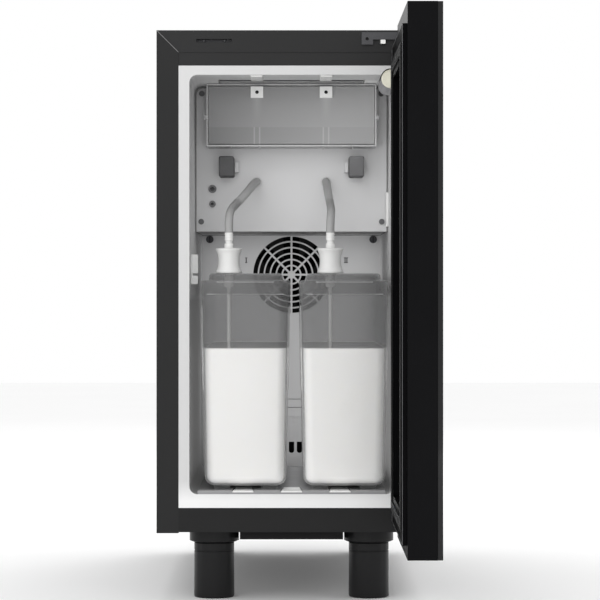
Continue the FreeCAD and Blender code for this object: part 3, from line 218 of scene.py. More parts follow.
class Finish:
    """One material. Its node method makes any node; the shader is a Principled BSDF."""

    def __init__(self, name, **shader):
        self.material = bpy.data.materials.new(name)
        self.material.use_nodes = True
        self.tree = self.material.node_tree
        self.shader = self.tree.nodes["Principled BSDF"]
        for key, value in shader.items():
            self.shader.inputs[key.replace("_", " ")].default_value = value
        self.place = self.node("ShaderNodeTexCoord", {}, {}, "Object")

    def feed(self, target, value):
        """Links a wire to an input socket, or sets the socket to a plain value."""
        if isinstance(value, Wire):
            self.tree.links.new(value.socket, target)
        else:
            target.default_value = value

    def node(self, kind, settings, inputs, out=0):
        made = self.tree.nodes.new(kind)
        for key, value in settings.items():
            setattr(made, key, value)
        for key, value in inputs.items():
            if isinstance(value, Wire):
                self.tree.links.new(value.socket, made.inputs[key])
            elif value is not None:
                made.inputs[key].default_value = value
        return Wire(self, made.outputs[out])

    def axis(self, letter):
        return self.node("ShaderNodeSeparateXYZ", {}, {0: self.place}, letter)

    def noise(self, scale, detail=3.0, stretch=(1, 1, 1)):
        where = self.node("ShaderNodeMapping", {}, {"Vector": self.place, "Scale": stretch})
        return self.node("ShaderNodeTexNoise", {}, {"Vector": where, "Scale": scale, "Detail": detail}, "Fac")

    def facing(self, blend=0.5):
        return self.node("ShaderNodeLayerWeight", {}, {"Blend": blend}, "Facing")

    def mix(self, share, first, second):
        """A colour between two colours; share is a number or a Wire."""
        as_colour = [c if isinstance(c, Wire) else (*c[:3], 1) for c in (first, second)]
        made = self.node("ShaderNodeMix", {"data_type": "RGBA"}, {}, "Result")
        node = made.socket.node
        node_inputs = [s for s in node.inputs if s.type == "RGBA"]
        result = [s for s in node.outputs if s.type == "RGBA"][0]
        for target, value in zip([node.inputs["Factor"], *node_inputs], [share, *as_colour]):
            self.feed(target, value)
        return Wire(self, result)

    def set(self, **inputs):
        for key, value in inputs.items():
            target = self.shader.inputs[key.replace("_", " ")]
            self.feed(target, value)
        return self

    def bump(self, height, strength, depth):
        """Relief of that many metres where height is 1."""
        normal = self.node("ShaderNodeBump", {}, {"Strength": strength, "Distance": depth, "Height": height},
                           "Normal")
        self.tree.links.new(normal.socket, self.shader.inputs["Normal"])
        return self


def shade(colour, share):
    return tuple(min(1.0, c*share) for c in colour[:3])


def powder_coat(name, colour, rough=0.42, gloss=0.2):
    """Baked paint: an orange-peel relief, slow drifts of tone and small bright specks."""
    f = Finish(name, IOR=1.5, Specular_IOR_Level=gloss)
    drift, peel, specks = f.noise(9, 2), f.noise(900, 2), f.noise(2600, 1)
    tone = f.mix(drift, shade(colour, 0.86), shade(colour, 1.14))
    bright = ((specks - 0.66)*8).clamped()*0.25
    f.set(Base_Color=f.mix(bright, tone, shade(colour, 2.2)), Roughness=rough - 0.06 + drift*0.12)
    return f.bump(peel, 0.35, 0.00006)


def moulded(name, colour, rough=0.4, grain=700, relief=0.00003, drift_share=0.06, gloss=0.5):
    """Moulded plastic: fine spark-eroded grain, flow marks and a faint drift of tone."""
    f = Finish(name, IOR=1.46, Specular_IOR_Level=gloss)
    drift, fine, flow = f.noise(14, 3), f.noise(grain, 3), f.noise(60, 2, (1, 1, 0.2))
    f.set(Base_Color=f.mix(drift, shade(colour, 1 - drift_share), shade(colour, 1 + drift_share)),
          Roughness=rough - 0.07 + flow*0.14)
    return f.bump(fine, 0.4, relief)


def rubber(name, colour, rough=0.62, gloss=0.3):
    """Soft rubber: a dusty bloom on a matte skin with a fine tooth."""
    f = Finish(name, IOR=1.5, Specular_IOR_Level=gloss)
    bloom, tooth = f.noise(40, 4), f.noise(1500, 2)
    f.set(Base_Color=f.mix(((bloom - 0.45)*3).clamped()*0.5, colour, shade(colour, 1.6)),
          Roughness=rough + bloom*0.15)
    return f.bump(tooth, 0.4, 0.00005)


def drawn_metal(name, colour, stretch, rough=0.3):
    """Metal with drawing lines: noise pulled out along the drawing direction."""
    f = Finish(name, Metallic=1.0)
    lines, stains = f.noise(260, 4, stretch), f.noise(22, 3)
    f.set(Base_Color=f.mix(lines, shade(colour, 0.82), shade(colour, 1.12)),
          Roughness=rough - 0.08 + lines*0.16 + stains*0.06)
    return f.bump(lines, 0.25, 0.00003)


def clear_plastic(name, tint, thin, thick, milky=None):
    """Clear plastic: grey and hazy face on, with a painted reflection that brightens it towards its edges, and
    fine scuffs.

    With milky, a height, the wall below it takes the white of the milk behind it."""
    f = Finish(name, IOR=1.49)
    edge, scuffs, haze = f.facing(0.35), f.noise(180, 4, (1, 1, 0.25)), f.noise(12, 2)
    # painted reflection: the tone turns light grey where the surface turns away from view
    tone = f.mix(edge**1.5, tint, (0.62, 0.63, 0.63))
    veil = thin + (thick - thin)*edge**1.6 + haze*0.05
    if milky:
        wet = 1 - f.axis("Z").ramp(milky, 1*MM)
        tone = f.mix(wet, tone, (0.86, 0.86, 0.86))
        veil = veil*(1 - wet) + wet*(0.12 + edge**1.2*0.5)
    f.set(Base_Color=tone, Roughness=0.08 + scuffs*0.12, Alpha=veil.clamped())
    f.material.surface_render_method = "BLENDED"
    return f


def frosted_plastic(name, tint, thin, thick, flap=False):
    """Frosted plastic: a grey veil with cloudy density and a silky skin.

    On the flap the tone grows lighter to the right, a painted light, and steps down in the lowest third, and a
    soft light streak hangs under each boss and stands over each tube behind it."""
    f = Finish(name, IOR=1.49, Specular_IOR_Level=0.3)
    edge, cloud, skin = f.facing(0.4), f.noise(7, 3), f.noise(1200, 2)
    tone = f.mix(cloud, shade(tint, 0.96), shade(tint, 1.04))
    if flap:
        x, z = f.axis("X"), f.axis("Z")
        step = z.ramp(480.6*MM, 0.6*MM)
        right = x.ramp(-80*MM, 170*MM)
        tone = f.mix((1 - step)*0.14, tone, (0.0, 0.0, 0.0))
        # painted light: lighter towards the right
        tone = f.mix(right*0.26, tone, (0.8, 0.8, 0.8))
        boss, tube, half_tube = 36*MM, 2.8*MM, 1.2*MM
        off = abs(abs(x) - boss)
        tubes = (1 - abs(off - tube)/half_tube).clamped()*(1 - step)
        streak = (1 - off/(6*MM)).clamped()*z.ramp(485*MM, 30*MM)*step
        tone = f.mix(tubes*0.2 + streak*0.14, tone, (0.9, 0.9, 0.9))
    f.set(Base_Color=tone, Roughness=0.38 + cloud*0.1,
          Alpha=(thin + (thick - thin)*edge + cloud*0.06).clamped())
    return f.bump(skin, 0.3, 0.00003)


def liner_finish(name, flange, wall, shaded_wall_low):
    """The liner, one moulding in painted light and shade: a bright flange with painted light along its lower edge,
    walls that are brightest just above the lids with painted shade beside the containers and towards the ceiling,
    and near-black painted shade behind the duct panel.
    """
    f = Finish(name, IOR=1.46)
    # flange and walls take different tones of one moulding: painted light and shade
    inside = f.axis("Y").ramp(FRONT + 1.2*MM, 0.8*MM)
    z = f.axis("Z")
    # painted shade: the walls darken below the lids and towards the ceiling
    above_lids = z.ramp(300*MM, 8*MM)
    shade_near_top = z.ramp(372*MM, 14*MM)
    drift, grain = f.noise(10, 3), f.noise(800, 2)
    walls = f.mix(above_lids*(1 - shade_near_top*0.35), shaded_wall_low, wall)
    # painted shade: the back wall behind the duct panel turns near black
    duct = f.axis("Y").ramp(FRONT + 376.5*MM, 0.5*MM)
    walls = f.mix(duct, walls, (0.003, 0.003, 0.003))
    # painted light: the flange brightens along its lower edge
    lit_low_edge = 1 - z.ramp(100*MM, 20*MM)
    rim = f.mix(lit_low_edge*0.75, f.mix(drift, shade(flange, 0.98), flange), (0.9, 0.9, 0.9))
    f.set(Base_Color=f.mix(inside, rim, walls), Roughness=0.36 + drift*0.12)
    return f.bump(grain, 0.3, 0.00003)


def panel_finish(name, low_colour, high_colour, node, painted_light_right=0.0, gap_shadow=0.0):
    """Painted panel whose tone runs from low_colour at its lower edge to high_colour at its upper edge, a painted
    shade, and grows lighter to the right, a painted light.

    gap_shadow is how far a painted shadow line, in the gap between panel and liner, lies inside its sides, with
    round upper corners."""
    low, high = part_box(node)
    f = Finish(name, IOR=1.5)
    x, z = f.axis("X"), f.axis("Z")
    # painted shade and light: tone set by height, lighter to the right
    climb = z.ramp(low.z, high.z - low.z)
    across = x.ramp(low.x, high.x - low.x)
    drift, peel = f.noise(16, 3), f.noise(700, 2)
    tone = f.mix(climb, low_colour, high_colour)
    tone = f.mix(across*painted_light_right, tone, (0.95, 0.95, 0.95))
    # painted shadow along the gap at the panel's sides and upper corners
    if gap_shadow:
        corner, edge = 8*MM, 0.9*MM
        nearest = (x - low.x).at_most(high.x - x)
        in_x = (corner + gap_shadow - nearest).at_least(0.0)
        in_z = (z - (high.z - gap_shadow - corner)).at_least(0.0)
        off = (in_x*in_x + in_z*in_z)**0.5 - corner
        tone = f.mix((1 - abs(off)/edge).clamped()*0.85, tone, (0.03, 0.03, 0.03))
    f.set(Base_Color=f.mix(drift*0.12, tone, shade(high_colour, 0.8)), Roughness=0.42 + drift*0.12)
    return f.bump(peel, 0.3, 0.00004)


def milk_finish(name, colour):
    """Milk: soft and white, a little creamier near its surface."""
    _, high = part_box("container_left_milk")
    f = Finish(name, IOR=1.35, Subsurface_Weight=0.15)
    f.shader.inputs["Subsurface Radius"].default_value = (0.01, 0.009, 0.007)
    top = f.axis("Z").ramp(high.z - 6*MM, 6*MM)
    film = f.noise(25, 3, (1, 1, 0.3))
    f.set(Base_Color=f.mix(top, f.mix(film, shade(colour, 0.96), colour), shade(colour, 1.03)),
          Roughness=0.24 + film*0.1)
    return f


def glass_black(name, colour):
    """Dark glass: deep and even, with faint waves and wiped streaks."""
    f = Finish(name, IOR=1.52, Coat_Roughness=0.03, Specular_IOR_Level=0.12)
    wave, streak = f.noise(5, 2), f.noise(60, 4, (1, 0.15, 1))
    f.set(Base_Color=f.mix(wave, shade(colour, 0.9), shade(colour, 1.1)), Roughness=0.06 + streak*0.08,
          Coat_Weight=0.08 + wave*0.06)
    return f


def lamp_finish(name, colour):
    """Diffuser of a lamp: cream with a painted glow, lighter at its centre and darker towards its rim, and moulded
    rings that follow its radius.
    """
    low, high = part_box("lamp_lens")
    f = Finish(name, IOR=1.46)
    x, z = f.axis("X") - (low.x + high.x)/2, f.axis("Z") - (low.z + high.z)/2
    radius = (x*x + z*z)**0.5
    rings = (radius*4200).sine()
    # painted glow: lighter at the centre, darker towards the rim
    f.set(Base_Color=f.mix(radius/(high.x - low.x)*1.4, shade(colour, 1.05), shade(colour, 0.85)),
          Roughness=0.3 + rings*0.05)
    return f.bump(rings, 0.3, 0.0001)


def foam_finish(name, colour):
    """Rigid foam: a matte surface of small closed cells."""
    f = Finish(name, IOR=1.4)
    cells = f.node("ShaderNodeTexVoronoi", {}, {"Vector": f.place, "Scale": 500.0}, "Distance")
    f.set(Base_Color=f.mix(cells, colour, shade(colour, 0.7)), Roughness=0.9 - cells*0.1)
    return f.bump(cells, 0.6, 0.0004)


def dress(material, *names):
    """Gives a finish to CAD nodes or to new pieces."""
    for name in names:
        target = bpy.data.objects[name]
        target.data.materials.clear()
        target.data.materials.append(material.material)


# ---- settings --------------------------------------------------------------------------------------

def length(name, description, default, low=0.1, high=1000.0):
    return bpy.props.FloatProperty(name=name, description=description, default=default, min=low, max=high)


def tint(name, description, default):
    return bpy.props.FloatVectorProperty(name=name, description=description, default=default, size=3,
                                         subtype="COLOR", min=0.0, max=1.0)


class CoolerSizes(bpy.types.PropertyGroup):
    """Sizes in millimetres that the new pieces follow."""
    wall: length("Container wall", "Thickness of the clear tub in millimetres", 2.0)
    corner: length("Container corner", "Radius of the tub's upright corners in millimetres", 12.0)
    strip: length("Side strip", "How far the tub's grip strips stand out in millimetres", 0.6)
    strip_low: length("Strip height", "Lower edge of the grip strips above the floor in millimetres", 209.0)
    strip_high: length("Strip top", "Upper edge of the grip strips above the floor in millimetres", 296.0)
    hose: length("Hose diameter", "Outside diameter of the silicone hoses in millimetres", 8.4)
    waist: length("Cap waist", "Radius of the cap's waist in millimetres", 10.8)
    seal: length("Gasket band", "Width of the gasket's bulb in millimetres", 10.0)
    # the bright line along a mitre is a painted highlight
    bead: length("Mitre highlight", "Width of the bright line along a mitre in millimetres", 0.5)
    ring_wire: length("Grille wire", "Thickness of the grille's rings in millimetres", 1.8)


class CoolerColours(bpy.types.PropertyGroup):
    """Colours of the finishes, as linear red, green and blue."""
    frame_grey: tint("Frame", "Powder coat of the front frame", (0.016, 0.016, 0.0163))
    casing: tint("Casing", "Powder coat of the outer casing", (0.014, 0.014, 0.0145))
    # The liner's flange and wall tones are painted light and shade on one moulding.
    flange: tint("Flange", "Front flange of the liner", (0.60, 0.60, 0.60))
    wall_high: tint("Upper wall", "Liner wall above the lids", (0.9, 0.9, 0.9))
    shaded_wall_low: tint("Lower wall", "Liner wall beside the containers", (0.5, 0.5, 0.5))
    duct: tint("Duct panel", "Grey of the air duct panel", (0.52, 0.52, 0.525))
    # The service panel is one paint; its lower and upper tones are painted light and shade.
    panel_low: tint("Service panel", "Lower part of the service panel", (0.60, 0.60, 0.605))
    panel_high: tint("Service panel top", "Upper part of the service panel", (0.56, 0.56, 0.565))
    latch: tint("Latch rubber", "Rubber of the thumb latches", (0.082, 0.082, 0.084))
    frosted: tint("Frosted grey", "Plastic of the cartridge bay", (0.275, 0.275, 0.277))
    white: tint("White plastic", "Caps, bosses and clips", (0.84, 0.84, 0.83))
    cream: tint("Lamp", "Diffuser of the lamp", (0.86, 0.84, 0.70))
    clear: tint("Clear plastic", "Containers and lids", (0.215, 0.215, 0.217))
    milk: tint("Milk", "Milk in the containers", (0.9, 0.895, 0.88))
    hose: tint("Hose", "Silicone of the hoses", (0.36, 0.36, 0.36))
    black: tint("Door black", "Plastic of the door frame and inner panel", (0.0035, 0.0035, 0.004))
    foot: tint("Foot", "Plastic of the feet", (0.011, 0.011, 0.0115))


def sizes():
    return bpy.context.scene.cooler_sizes


def colours():
    return bpy.context.scene.cooler_colours


class CoolerPiece(bpy.types.Operator):
    """What the cooler's operators share: each one builds its pieces in make."""
    bl_options = {"REGISTER", "UNDO"}

    def execute(self, context):
        self.make()
        return {"FINISHED"}


# ---- pieces ----------------------------------------------------------------------------------------

class COOLER_OT_stage(CoolerPiece):
    """Floor, soft studio light and the camera in front of the open door"""
    bl_idname = "cooler.stage"
    bl_label = "Stage"

    def make(self):
        floor = bpy.data.meshes.new("floor")
        reach = 6.0
        floor.from_pydata([(-reach, -reach, 0), (reach, -reach, 0), (reach, reach, 0), (-reach, reach, 0)],
                          [], [(0, 1, 2, 3)])
        ground = linked("floor", floor)
        pale = Finish("pale floor", Roughness=0.9)
        pale.set(Base_Color=pale.mix(pale.noise(3, 2), (0.93, 0.93, 0.93), (0.96, 0.96, 0.96)))
        dress(pale, "floor")

        world = bpy.data.worlds.new("studio")
        bpy.context.scene.world = world
        world.use_nodes = True
        sky = world.node_tree.nodes["Background"]
        sky.inputs["Color"].default_value = (1, 1, 1, 1)
        sky.inputs["Strength"].default_value = 1.0

        self.softbox("key", (-0.9, -2.6, 1.7), (0.0, 0.1, 0.33), 1.6, 9)
        self.softbox("fill", (-0.05, -3.1, 0.42), (0.0, 0.1, 0.25), 1.2, 24, False)
        self.softbox("rim", (0.3, 1.8, 1.9), (0.0, 0.2, 0.4), 1.4, 16)
        away, down = (math.pi/2, 0, 0), (0, 0, 0)
        self.inner_light("behind", (0, FRONT + 0.350, 0.24), away, (0.19, 0.25), 0.085)
        self.inner_light("upper", (0.012, FRONT + 0.064, 0.440), away, (0.17, 0.15), 0.042)
        self.inner_light("under bay", (0.012, FRONT + 0.125, 0.4545), down, (0.15, 0.02), 0.004)
        self.inner_light("floor gap", (0.0034, FRONT + 0.19, 0.118), down, (0.014, 0.33), 0.014)
        self.inner_light("floor front", (0, FRONT + 0.004, 0.113), away, (0.18, 0.005), 0.0028)
        for side in (-1, 1):
            inward, power = (0, -side*math.pi/2, 0), 0.035 if side < 0 else 0.07
            self.inner_light("beside the bay", (side*0.0955, FRONT + 0.118, 0.485), away,
                             (0.006, 0.07), 0.0009)
            self.inner_light("side wall", (side*0.097 + 0.0015, FRONT + 0.19, 0.21), inward,
                             (0.19, 0.33), power)

        lens = bpy.data.cameras.new("camera")
        camera = linked("camera", lens)
        distance, seen = 2.72, 0.6
        lens.lens = lens.sensor_width*distance/seen
        lens.shift_x, lens.shift_y = 0.0142, -0.0233
        camera.location = (0.0, FRONT - distance, 0.3152)
        camera.rotation_euler = (math.pi/2, 0, 0)
        bpy.context.scene.camera = camera
        bpy.context.scene.view_settings.view_transform = "Standard"

    def softbox(self, name, place, target, size, power, mirrored=True):
        data = bpy.data.lights.new(name, "AREA")
        data.size, data.energy = size, power
        lamp = linked(name, data)
        lamp.location = place
        lamp.visible_glossy = mirrored
        step = [t - p for t, p in zip(target, place)]
        flat = math.hypot(step[0], step[1])
        lamp.rotation_euler = (math.atan2(flat, -step[2]), 0, math.atan2(-step[0], step[1]))

    def inner_light(self, name, place, turn, size, power):
        """A flat light inside the cabinet that only the walls near it notice."""
        data = bpy.data.lights.new(name, "AREA")
        data.shape, data.size, data.size_y, data.energy = "RECTANGLE", *size, power
        lamp = linked(name, data)
        lamp.location, lamp.rotation_euler = place, turn
        lamp.visible_camera = False
        lamp.visible_glossy = False


class COOLER_OT_hoses(CoolerPiece):
    """The two silicone hoses from the service panel to the caps"""
    bl_idname = "cooler.hoses"
    bl_label = "Hoses"

    def make(self):
        finish = self.silicone()
        for side in SIDES:
            route = [(x*MM, FRONT + y*MM, z*MM) for x, y, z in HOSE_ROUTES[side]]
            name = f"hose_{side}"
            curve = bpy.data.curves.new(name, "CURVE")
            curve.dimensions = "3D"
            spline = curve.splines.new("NURBS")
            spline.points.add(len(route) - 1)
            spline.points.foreach_set("co", np.array([(*p, 1.0) for p in route]).ravel())
            spline.order_u = 3
            spline.use_endpoint_u = True
            spline.resolution_u = 10
            curve.bevel_depth = sizes().hose*MM/2
            curve.bevel_resolution = 6
            curve.use_fill_caps = True
            hose = linked(name, curve)
            curve.materials.append(finish.material)
            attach(hose, f"{side}_lid")
            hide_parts(f"container_{side}_hose")

    def silicone(self):
        """Silicone: translucent grey, with painted shade towards its edges and painted light near the cap, and a
        faint mottling.
        """
        f = Finish("hose silicone", IOR=1.43, Subsurface_Weight=0.2)
        f.shader.inputs["Subsurface Radius"].default_value = (0.004, 0.004, 0.004)
        edge, mottle = f.facing(0.45), f.noise(120, 3)
        base = f.mix(mottle, shade(colours().hose, 0.94), shade(colours().hose, 1.06))
        # painted light: lighter low on the hose, near the cap
        painted_light_near_cap = (1 - (f.axis("Z") - 0.372)/0.03).clamped()
        lit = f.mix(painted_light_near_cap.clamped()*0.1, base, (0.6, 0.6, 0.6))
        # painted shade: darker where the hose turns away from view
        f.set(Base_Color=f.mix((edge - 0.35)*0.9, lit, shade(colours().hose, 0.62)), Roughness=0.4 + mottle*0.12)
        return f.bump(mottle, 0.2, 0.0001)


class COOLER_OT_tubs(CoolerPiece):
    """The clear containers with their grip strips, and the milk in them"""
    bl_idname = "cooler.tubs"
    bl_label = "Containers"

    def make(self):
        clear = clear_plastic("clear tub", tuple(colours().clear), 0.24, 0.8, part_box("container_left_milk")[1].z)
        milk = milk_finish("milk", tuple(colours().milk))
        for side in SIDES:
            self.tub(side)
            self.milk(side)
            dress(clear, f"tub_{side}")
            dress(milk, f"milk_{side}")

    def ring(self, low, high, level, inset, proud=0.0):
        """A level section of the tapered tub: half-widths grow in line with height, less the inset."""
        share = (level - low.z)/(high.z - low.z)
        narrow = TUB_TAPER*(1 - share)
        half_x = (high.x - low.x)/2 - narrow - inset
        half_y = (high.y - low.y)/2 - narrow - inset
        points, out = rounded_ring(half_x, half_y, max(sizes().corner*MM - inset, 0.4*MM), 8)
        side_share = np.abs(out[:, :1])**6
        points = points + out*side_share*proud
        middle = np.array([(low.x + high.x)/2, (low.y + high.y)/2])
        return np.column_stack([points + middle, np.full(len(points), level)])

    def tub(self, side):
        """A wall between two lofts: out and up with a round foot, over the rim, and back down inside."""
        low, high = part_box(f"container_{side}_tub")
        s = sizes()
        wall, foot = s.wall*MM, 10*MM
        base = low.z + TUB_FEET
        bounds_low = type(low)((low.x, low.y, base))
        turn = np.linspace(0, math.pi/2, 7)
        strip_low, strip_high, strip = s.strip_low*MM, s.strip_high*MM, s.strip*MM
        rows = [(foot*1.6, base, 0)]
        rows += [(foot*(1 - math.sin(a)), base + foot*(1 - math.cos(a)), 0) for a in turn]
        rows += [(0, strip_low, 0), (0, strip_low + 3*MM, strip), (0, strip_high - 3*MM, strip),
                 (0, strip_high, 0), (0, high.z - 1.2*MM, 0), (0.3*MM, high.z - 0.4*MM, 0),
                 (0.9*MM, high.z - 0.05*MM, 0), (wall - 0.4*MM, high.z - 0.2*MM, 0), (wall, high.z - 1.2*MM, 0)]
        inner = foot - wall
        rows += [(wall + inner*(1 - math.sin(a)), base + wall + inner*(1 - math.cos(a)), 0)
                 for a in turn[::-1]]
        rows += [(foot*1.6, base + wall, 0)]
        grid = np.array([self.ring(bounds_low, high, level, inset, proud) for inset, level, proud in rows])
        form = Form().surface(grid)
        middle = (low.x + high.x)/2
        for at in (-24*MM, 24*MM):
            form.block((middle + at - 8*MM, low.y + 20*MM, low.z),
                       (middle + at + 8*MM, high.y - 20*MM, base + 1*MM), 1.2*MM)
        form.object(f"tub_{side}", f"{side}_container", "clear_plastic", [f"container_{side}_tub"])
        self.painted_edge_highlights(side, low, high)

    def painted_edge_highlights(self, side, low, high):
        """Painted highlights up each side of the tub's front: a bright bead on each edge, tapered to a tip at its
        lower end.
        """
        form = Form()
        levels = np.array([209, 213, 230, 262, 292, 295.5])*MM
        wide = np.array([0.15, 0.5, 0.75, 0.85, 0.85, 0.3])*MM
        for hand in (-1, 1):
            rings = []
            for level, half in zip(levels, wide):
                share = (level - low.z)/(high.z - low.z)
                x = (low.x + high.x)/2 + hand*((high.x - low.x)/2 - TUB_TAPER*(1 - share) - 0.2*MM)
                y = low.y + TUB_TAPER*(1 - share) + sizes().corner*MM
                rings.append([(x - half, y - 1*MM, level), (x + half, y - 1*MM, level),
                              (x + half, y + 1*MM, level), (x - half, y + 1*MM, level)])
            form.surface(np.array(rings))
        form.object(f"painted_edge_highlights_{side}", f"{side}_container", "clear_plastic")
        # bright clear plastic: painted highlights
        dress(clear_plastic(f"edge highlight {side}", (0.75, 0.75, 0.75), 0.6, 0.9), f"painted_edge_highlights_{side}")

    def milk(self, side):
        """The milk: the tub's inside, with a meniscus that climbs the wall by a millimetre."""
        low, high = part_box(f"container_{side}_tub")
        milk_low, milk_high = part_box(f"container_{side}_milk")
        bounds_low = type(low)((low.x, low.y, low.z + TUB_FEET))
        inset, foot = (sizes().wall + 0.25)*MM, 8*MM
        turn = np.linspace(0, math.pi/2, 7)
        rows = [(inset + foot*1.5, milk_low.z)]
        rows += [(inset + foot*(1 - math.sin(a)), milk_low.z + foot*(1 - math.cos(a))) for a in turn]
        rows += [(inset, milk_high.z - 0.2*MM), (inset + 0.4*MM, milk_high.z),
                 (inset + 1.4*MM, milk_high.z - 0.7*MM), (inset + 4*MM, milk_high.z - 1.0*MM),
                 (inset + 30*MM, milk_high.z - 1.0*MM)]
        grid = np.array([self.ring(bounds_low, high, level, d) for d, level in rows])
        Form().surface(grid).object(f"milk_{side}", f"{side}_container", "milk", [f"container_{side}_milk"])


class COOLER_OT_lids(CoolerPiece):
    """The clear domed lids"""
    bl_idname = "cooler.lids"
    bl_label = "Lids"

    def make(self):
        clear = clear_plastic("clear lid", shade(colours().clear, 0.84), 0.38, 0.85)
        for side in SIDES:
            low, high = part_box(f"container_{side}_lid")
            middle = np.array([(low.x + high.x)/2, (low.y + high.y)/2])
            half = np.array([(high.x - low.x)/2, (high.y - low.y)/2])
            rim, wall = low.z + 14.1*MM, 1.8*MM
            rows = [(0.0, low.z, 14), (0.0, rim - 1.5*MM, 14), (0.5*MM, rim - 0.4*MM, 13.6), (1.6*MM, rim, 12.4),
                    (6.0*MM, rim, 10), (7.4*MM, rim + 0.8*MM, 9), (8.2*MM, high.z - 1.6*MM, 8.6),
                    (9.4*MM, high.z - 0.4*MM, 8), (11*MM, high.z, 7), (34*MM, high.z, 2)]
            under = [(34*MM, high.z - wall, 2), (11*MM, high.z - wall, 6), (9.6*MM, high.z - wall - 1.5*MM, 6),
                     (8.6*MM, rim - wall, 6), (3*MM, rim - wall, 9), (wall, rim - wall - 1.5*MM, 11),
                     (wall, low.z, 12.2)]
            rings = []
            for inset, level, radius in rows + under:
                ring, _ = rounded_ring(half[0] - inset, half[1] - inset, radius*MM, 8)
                rings.append(np.column_stack([ring + middle, np.full(len(ring), level)]))
            form = Form().surface(np.array(rings), loop=True)
            for x in (-0.62, 0.62):
                form.block((middle[0] + x*half[0] - 4*MM, low.y + 1.2*MM, rim - 0.6*MM),
                           (middle[0] + x*half[0] + 4*MM, low.y + 5*MM, rim + 0.8*MM), 0.6*MM)
            form.object(f"lid_{side}", f"{side}_lid", "clear_plastic", [f"container_{side}_lid"])
            self.painted_lid_highlights(side, low, high, middle)
            dress(clear, f"lid_{side}")

    def painted_lid_highlights(self, side, low, high, middle):
        """Painted highlights: a bright bar with a dot at each end under the dome, for the highlight along the
        lid's groove, and a bright bead for the highlight where the lid meets its tub.
        """
        highlight_marks, level = Form(), 319.2*MM
        highlight_marks.turned([(0.05, -28), (0.35, -27.8), (0.35, 27.8), (0.05, 28)], turn="X",
                   at=(middle[0], low.y + 0.25*MM, level), steps=12)
        for x in (-28*MM, 28*MM):
            highlight_marks.turned([(0.1, 0), (0.8, 0.1), (0.9, 0.5), (0.1, 0.6)], turn="-Y",
                       at=(middle[0] + x, low.y + 0.8*MM, level), steps=16)
        highlight_marks.block((low.x + 6*MM, low.y + 0.05*MM, low.z - 0.1*MM), (high.x - 6*MM, low.y + 0.6*MM, low.z + 0.5*MM),
                  0.2*MM)
        highlight_marks.object(f"lid_highlights_{side}", f"{side}_lid", "clear_plastic")
        # bright clear plastic: painted highlights
        dress(clear_plastic(f"lid highlight {side}", (0.7, 0.7, 0.7), 0.5, 0.9), f"lid_highlights_{side}")


class COOLER_OT_caps(CoolerPiece):
    """The waisted caps and the suction fittings with their tubes"""
    bl_idname = "cooler.caps"
    bl_label = "Caps and fittings"

    def make(self):
        white = moulded("cap white", shade(colours().white, 0.9), 0.3, 500, 0.00002, 0.03)
        steel = moulded("fitting white", (0.82, 0.82, 0.81), 0.22, 400, 0.00002, 0.05)
        for side in SIDES:
            self.cap(side)
            self.fitting(side)
            dress(white, f"cap_{side}")
            dress(steel, f"fitting_{side}")

    def cap(self, side):
        """A spool: r = waist + (end - waist) |t|^2.6 up its height, with a rolled edge at both ends."""
        low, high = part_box(f"container_{side}_cap")
        end, waist = (high.x - low.x)/2/MM, sizes().waist
        tall = (high.z - low.z)/MM
        t = np.linspace(-0.86, 0.86, 25)
        curve = [(waist + (end - waist)*abs(v/0.86)**2.6, tall/2*(1 + v)) for v in t]
        profile = [(5.2, 0), (end - 1.6, 0), (end - 0.5, 0.25), (end, 0.9)] + curve
        profile += [(end, tall - 0.9), (end - 0.5, tall - 0.25), (end - 1.6, tall), (5.2, tall)]
        centre = ((low.x + high.x)/2, (low.y + high.y)/2, low.z)
        form = Form().turned(profile, at=centre, steps=64)
        form.object(f"cap_{side}", f"{side}_lid", "white_plastic", [f"container_{side}_cap"])

    def fitting(self, side):
        """Turned: suction tube, neck, collar, a notched throat and a barbed ferrule."""
        low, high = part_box(f"container_{side}_fitting")
        tall = (high.z - low.z)/MM
        base = tall - 249.2
        steps = [(1.2, 0), (1.95, 0.6), (1.95, 193.6), (4.2, 194.2), (5.0, 195.4), (5.0, 233.4), (4.7, 233.8),
                 (4.7, 237.6), (4.4, 238.2), (3.6, 238.5), (3.5, 239.5), (3.6, 241.1), (4.35, 241.4),
                 (4.35, 243.2), (4.1, 243.6), (4.35, 244.0), (4.35, 246.0), (4.1, 246.4), (4.35, 246.8),
                 (4.35, 248.8), (4.0, 249.2), (1.5, 249.2)]
        profile = [(r, z + base) for r, z in steps]
        centre = ((low.x + high.x)/2, (low.y + high.y)/2, low.z)
        Form().turned(profile, at=centre, steps=32).object(
            f"fitting_{side}", f"{side}_lid", "fitting_steel", [f"container_{side}_fitting"])


class COOLER_OT_gasket(CoolerPiece):
    """The door gasket with its bulb and bellows"""
    bl_idname = "cooler.gasket"
    bl_label = "Door gasket"

    def make(self):
        """A profile of (across, depth) carried round a rounded rectangle in the open door's plane."""
        low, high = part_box("door_gasket")
        band = sizes().seal*MM
        depth = high.x - low.x
        profile = [(0.2, 0.35), (0.0, 0.28), (0.0, 0.08), (0.12, 0.0), (0.42, 0.0), (0.5, 0.09), (0.58, 0.0),
                   (0.88, 0.0), (1.0, 0.08), (1.0, 0.28), (0.8, 0.36), (0.84, 0.98), (0.16, 0.98)]
        half_y, half_z = (high.y - low.y)/2, (high.z - low.z)/2
        middle = np.array([(low.y + high.y)/2, (low.z + high.z)/2])
        rings = []
        for across, deep in profile:
            ring, _ = rounded_ring(half_y - across*band, half_z - across*band, 3*MM + (1 - across)*2*MM, 6)
            ring = ring + middle
            rings.append(np.column_stack([np.full(len(ring), low.x + deep*depth), ring]))
        form = Form().surface(np.array(rings)[::-1], loop=True)
        form.object("gasket", "door", "seal_black", ["door_gasket"], sharp=50)
        dress(rubber("gasket rubber", (0.012, 0.012, 0.0125), 0.5, 0.25), "gasket")


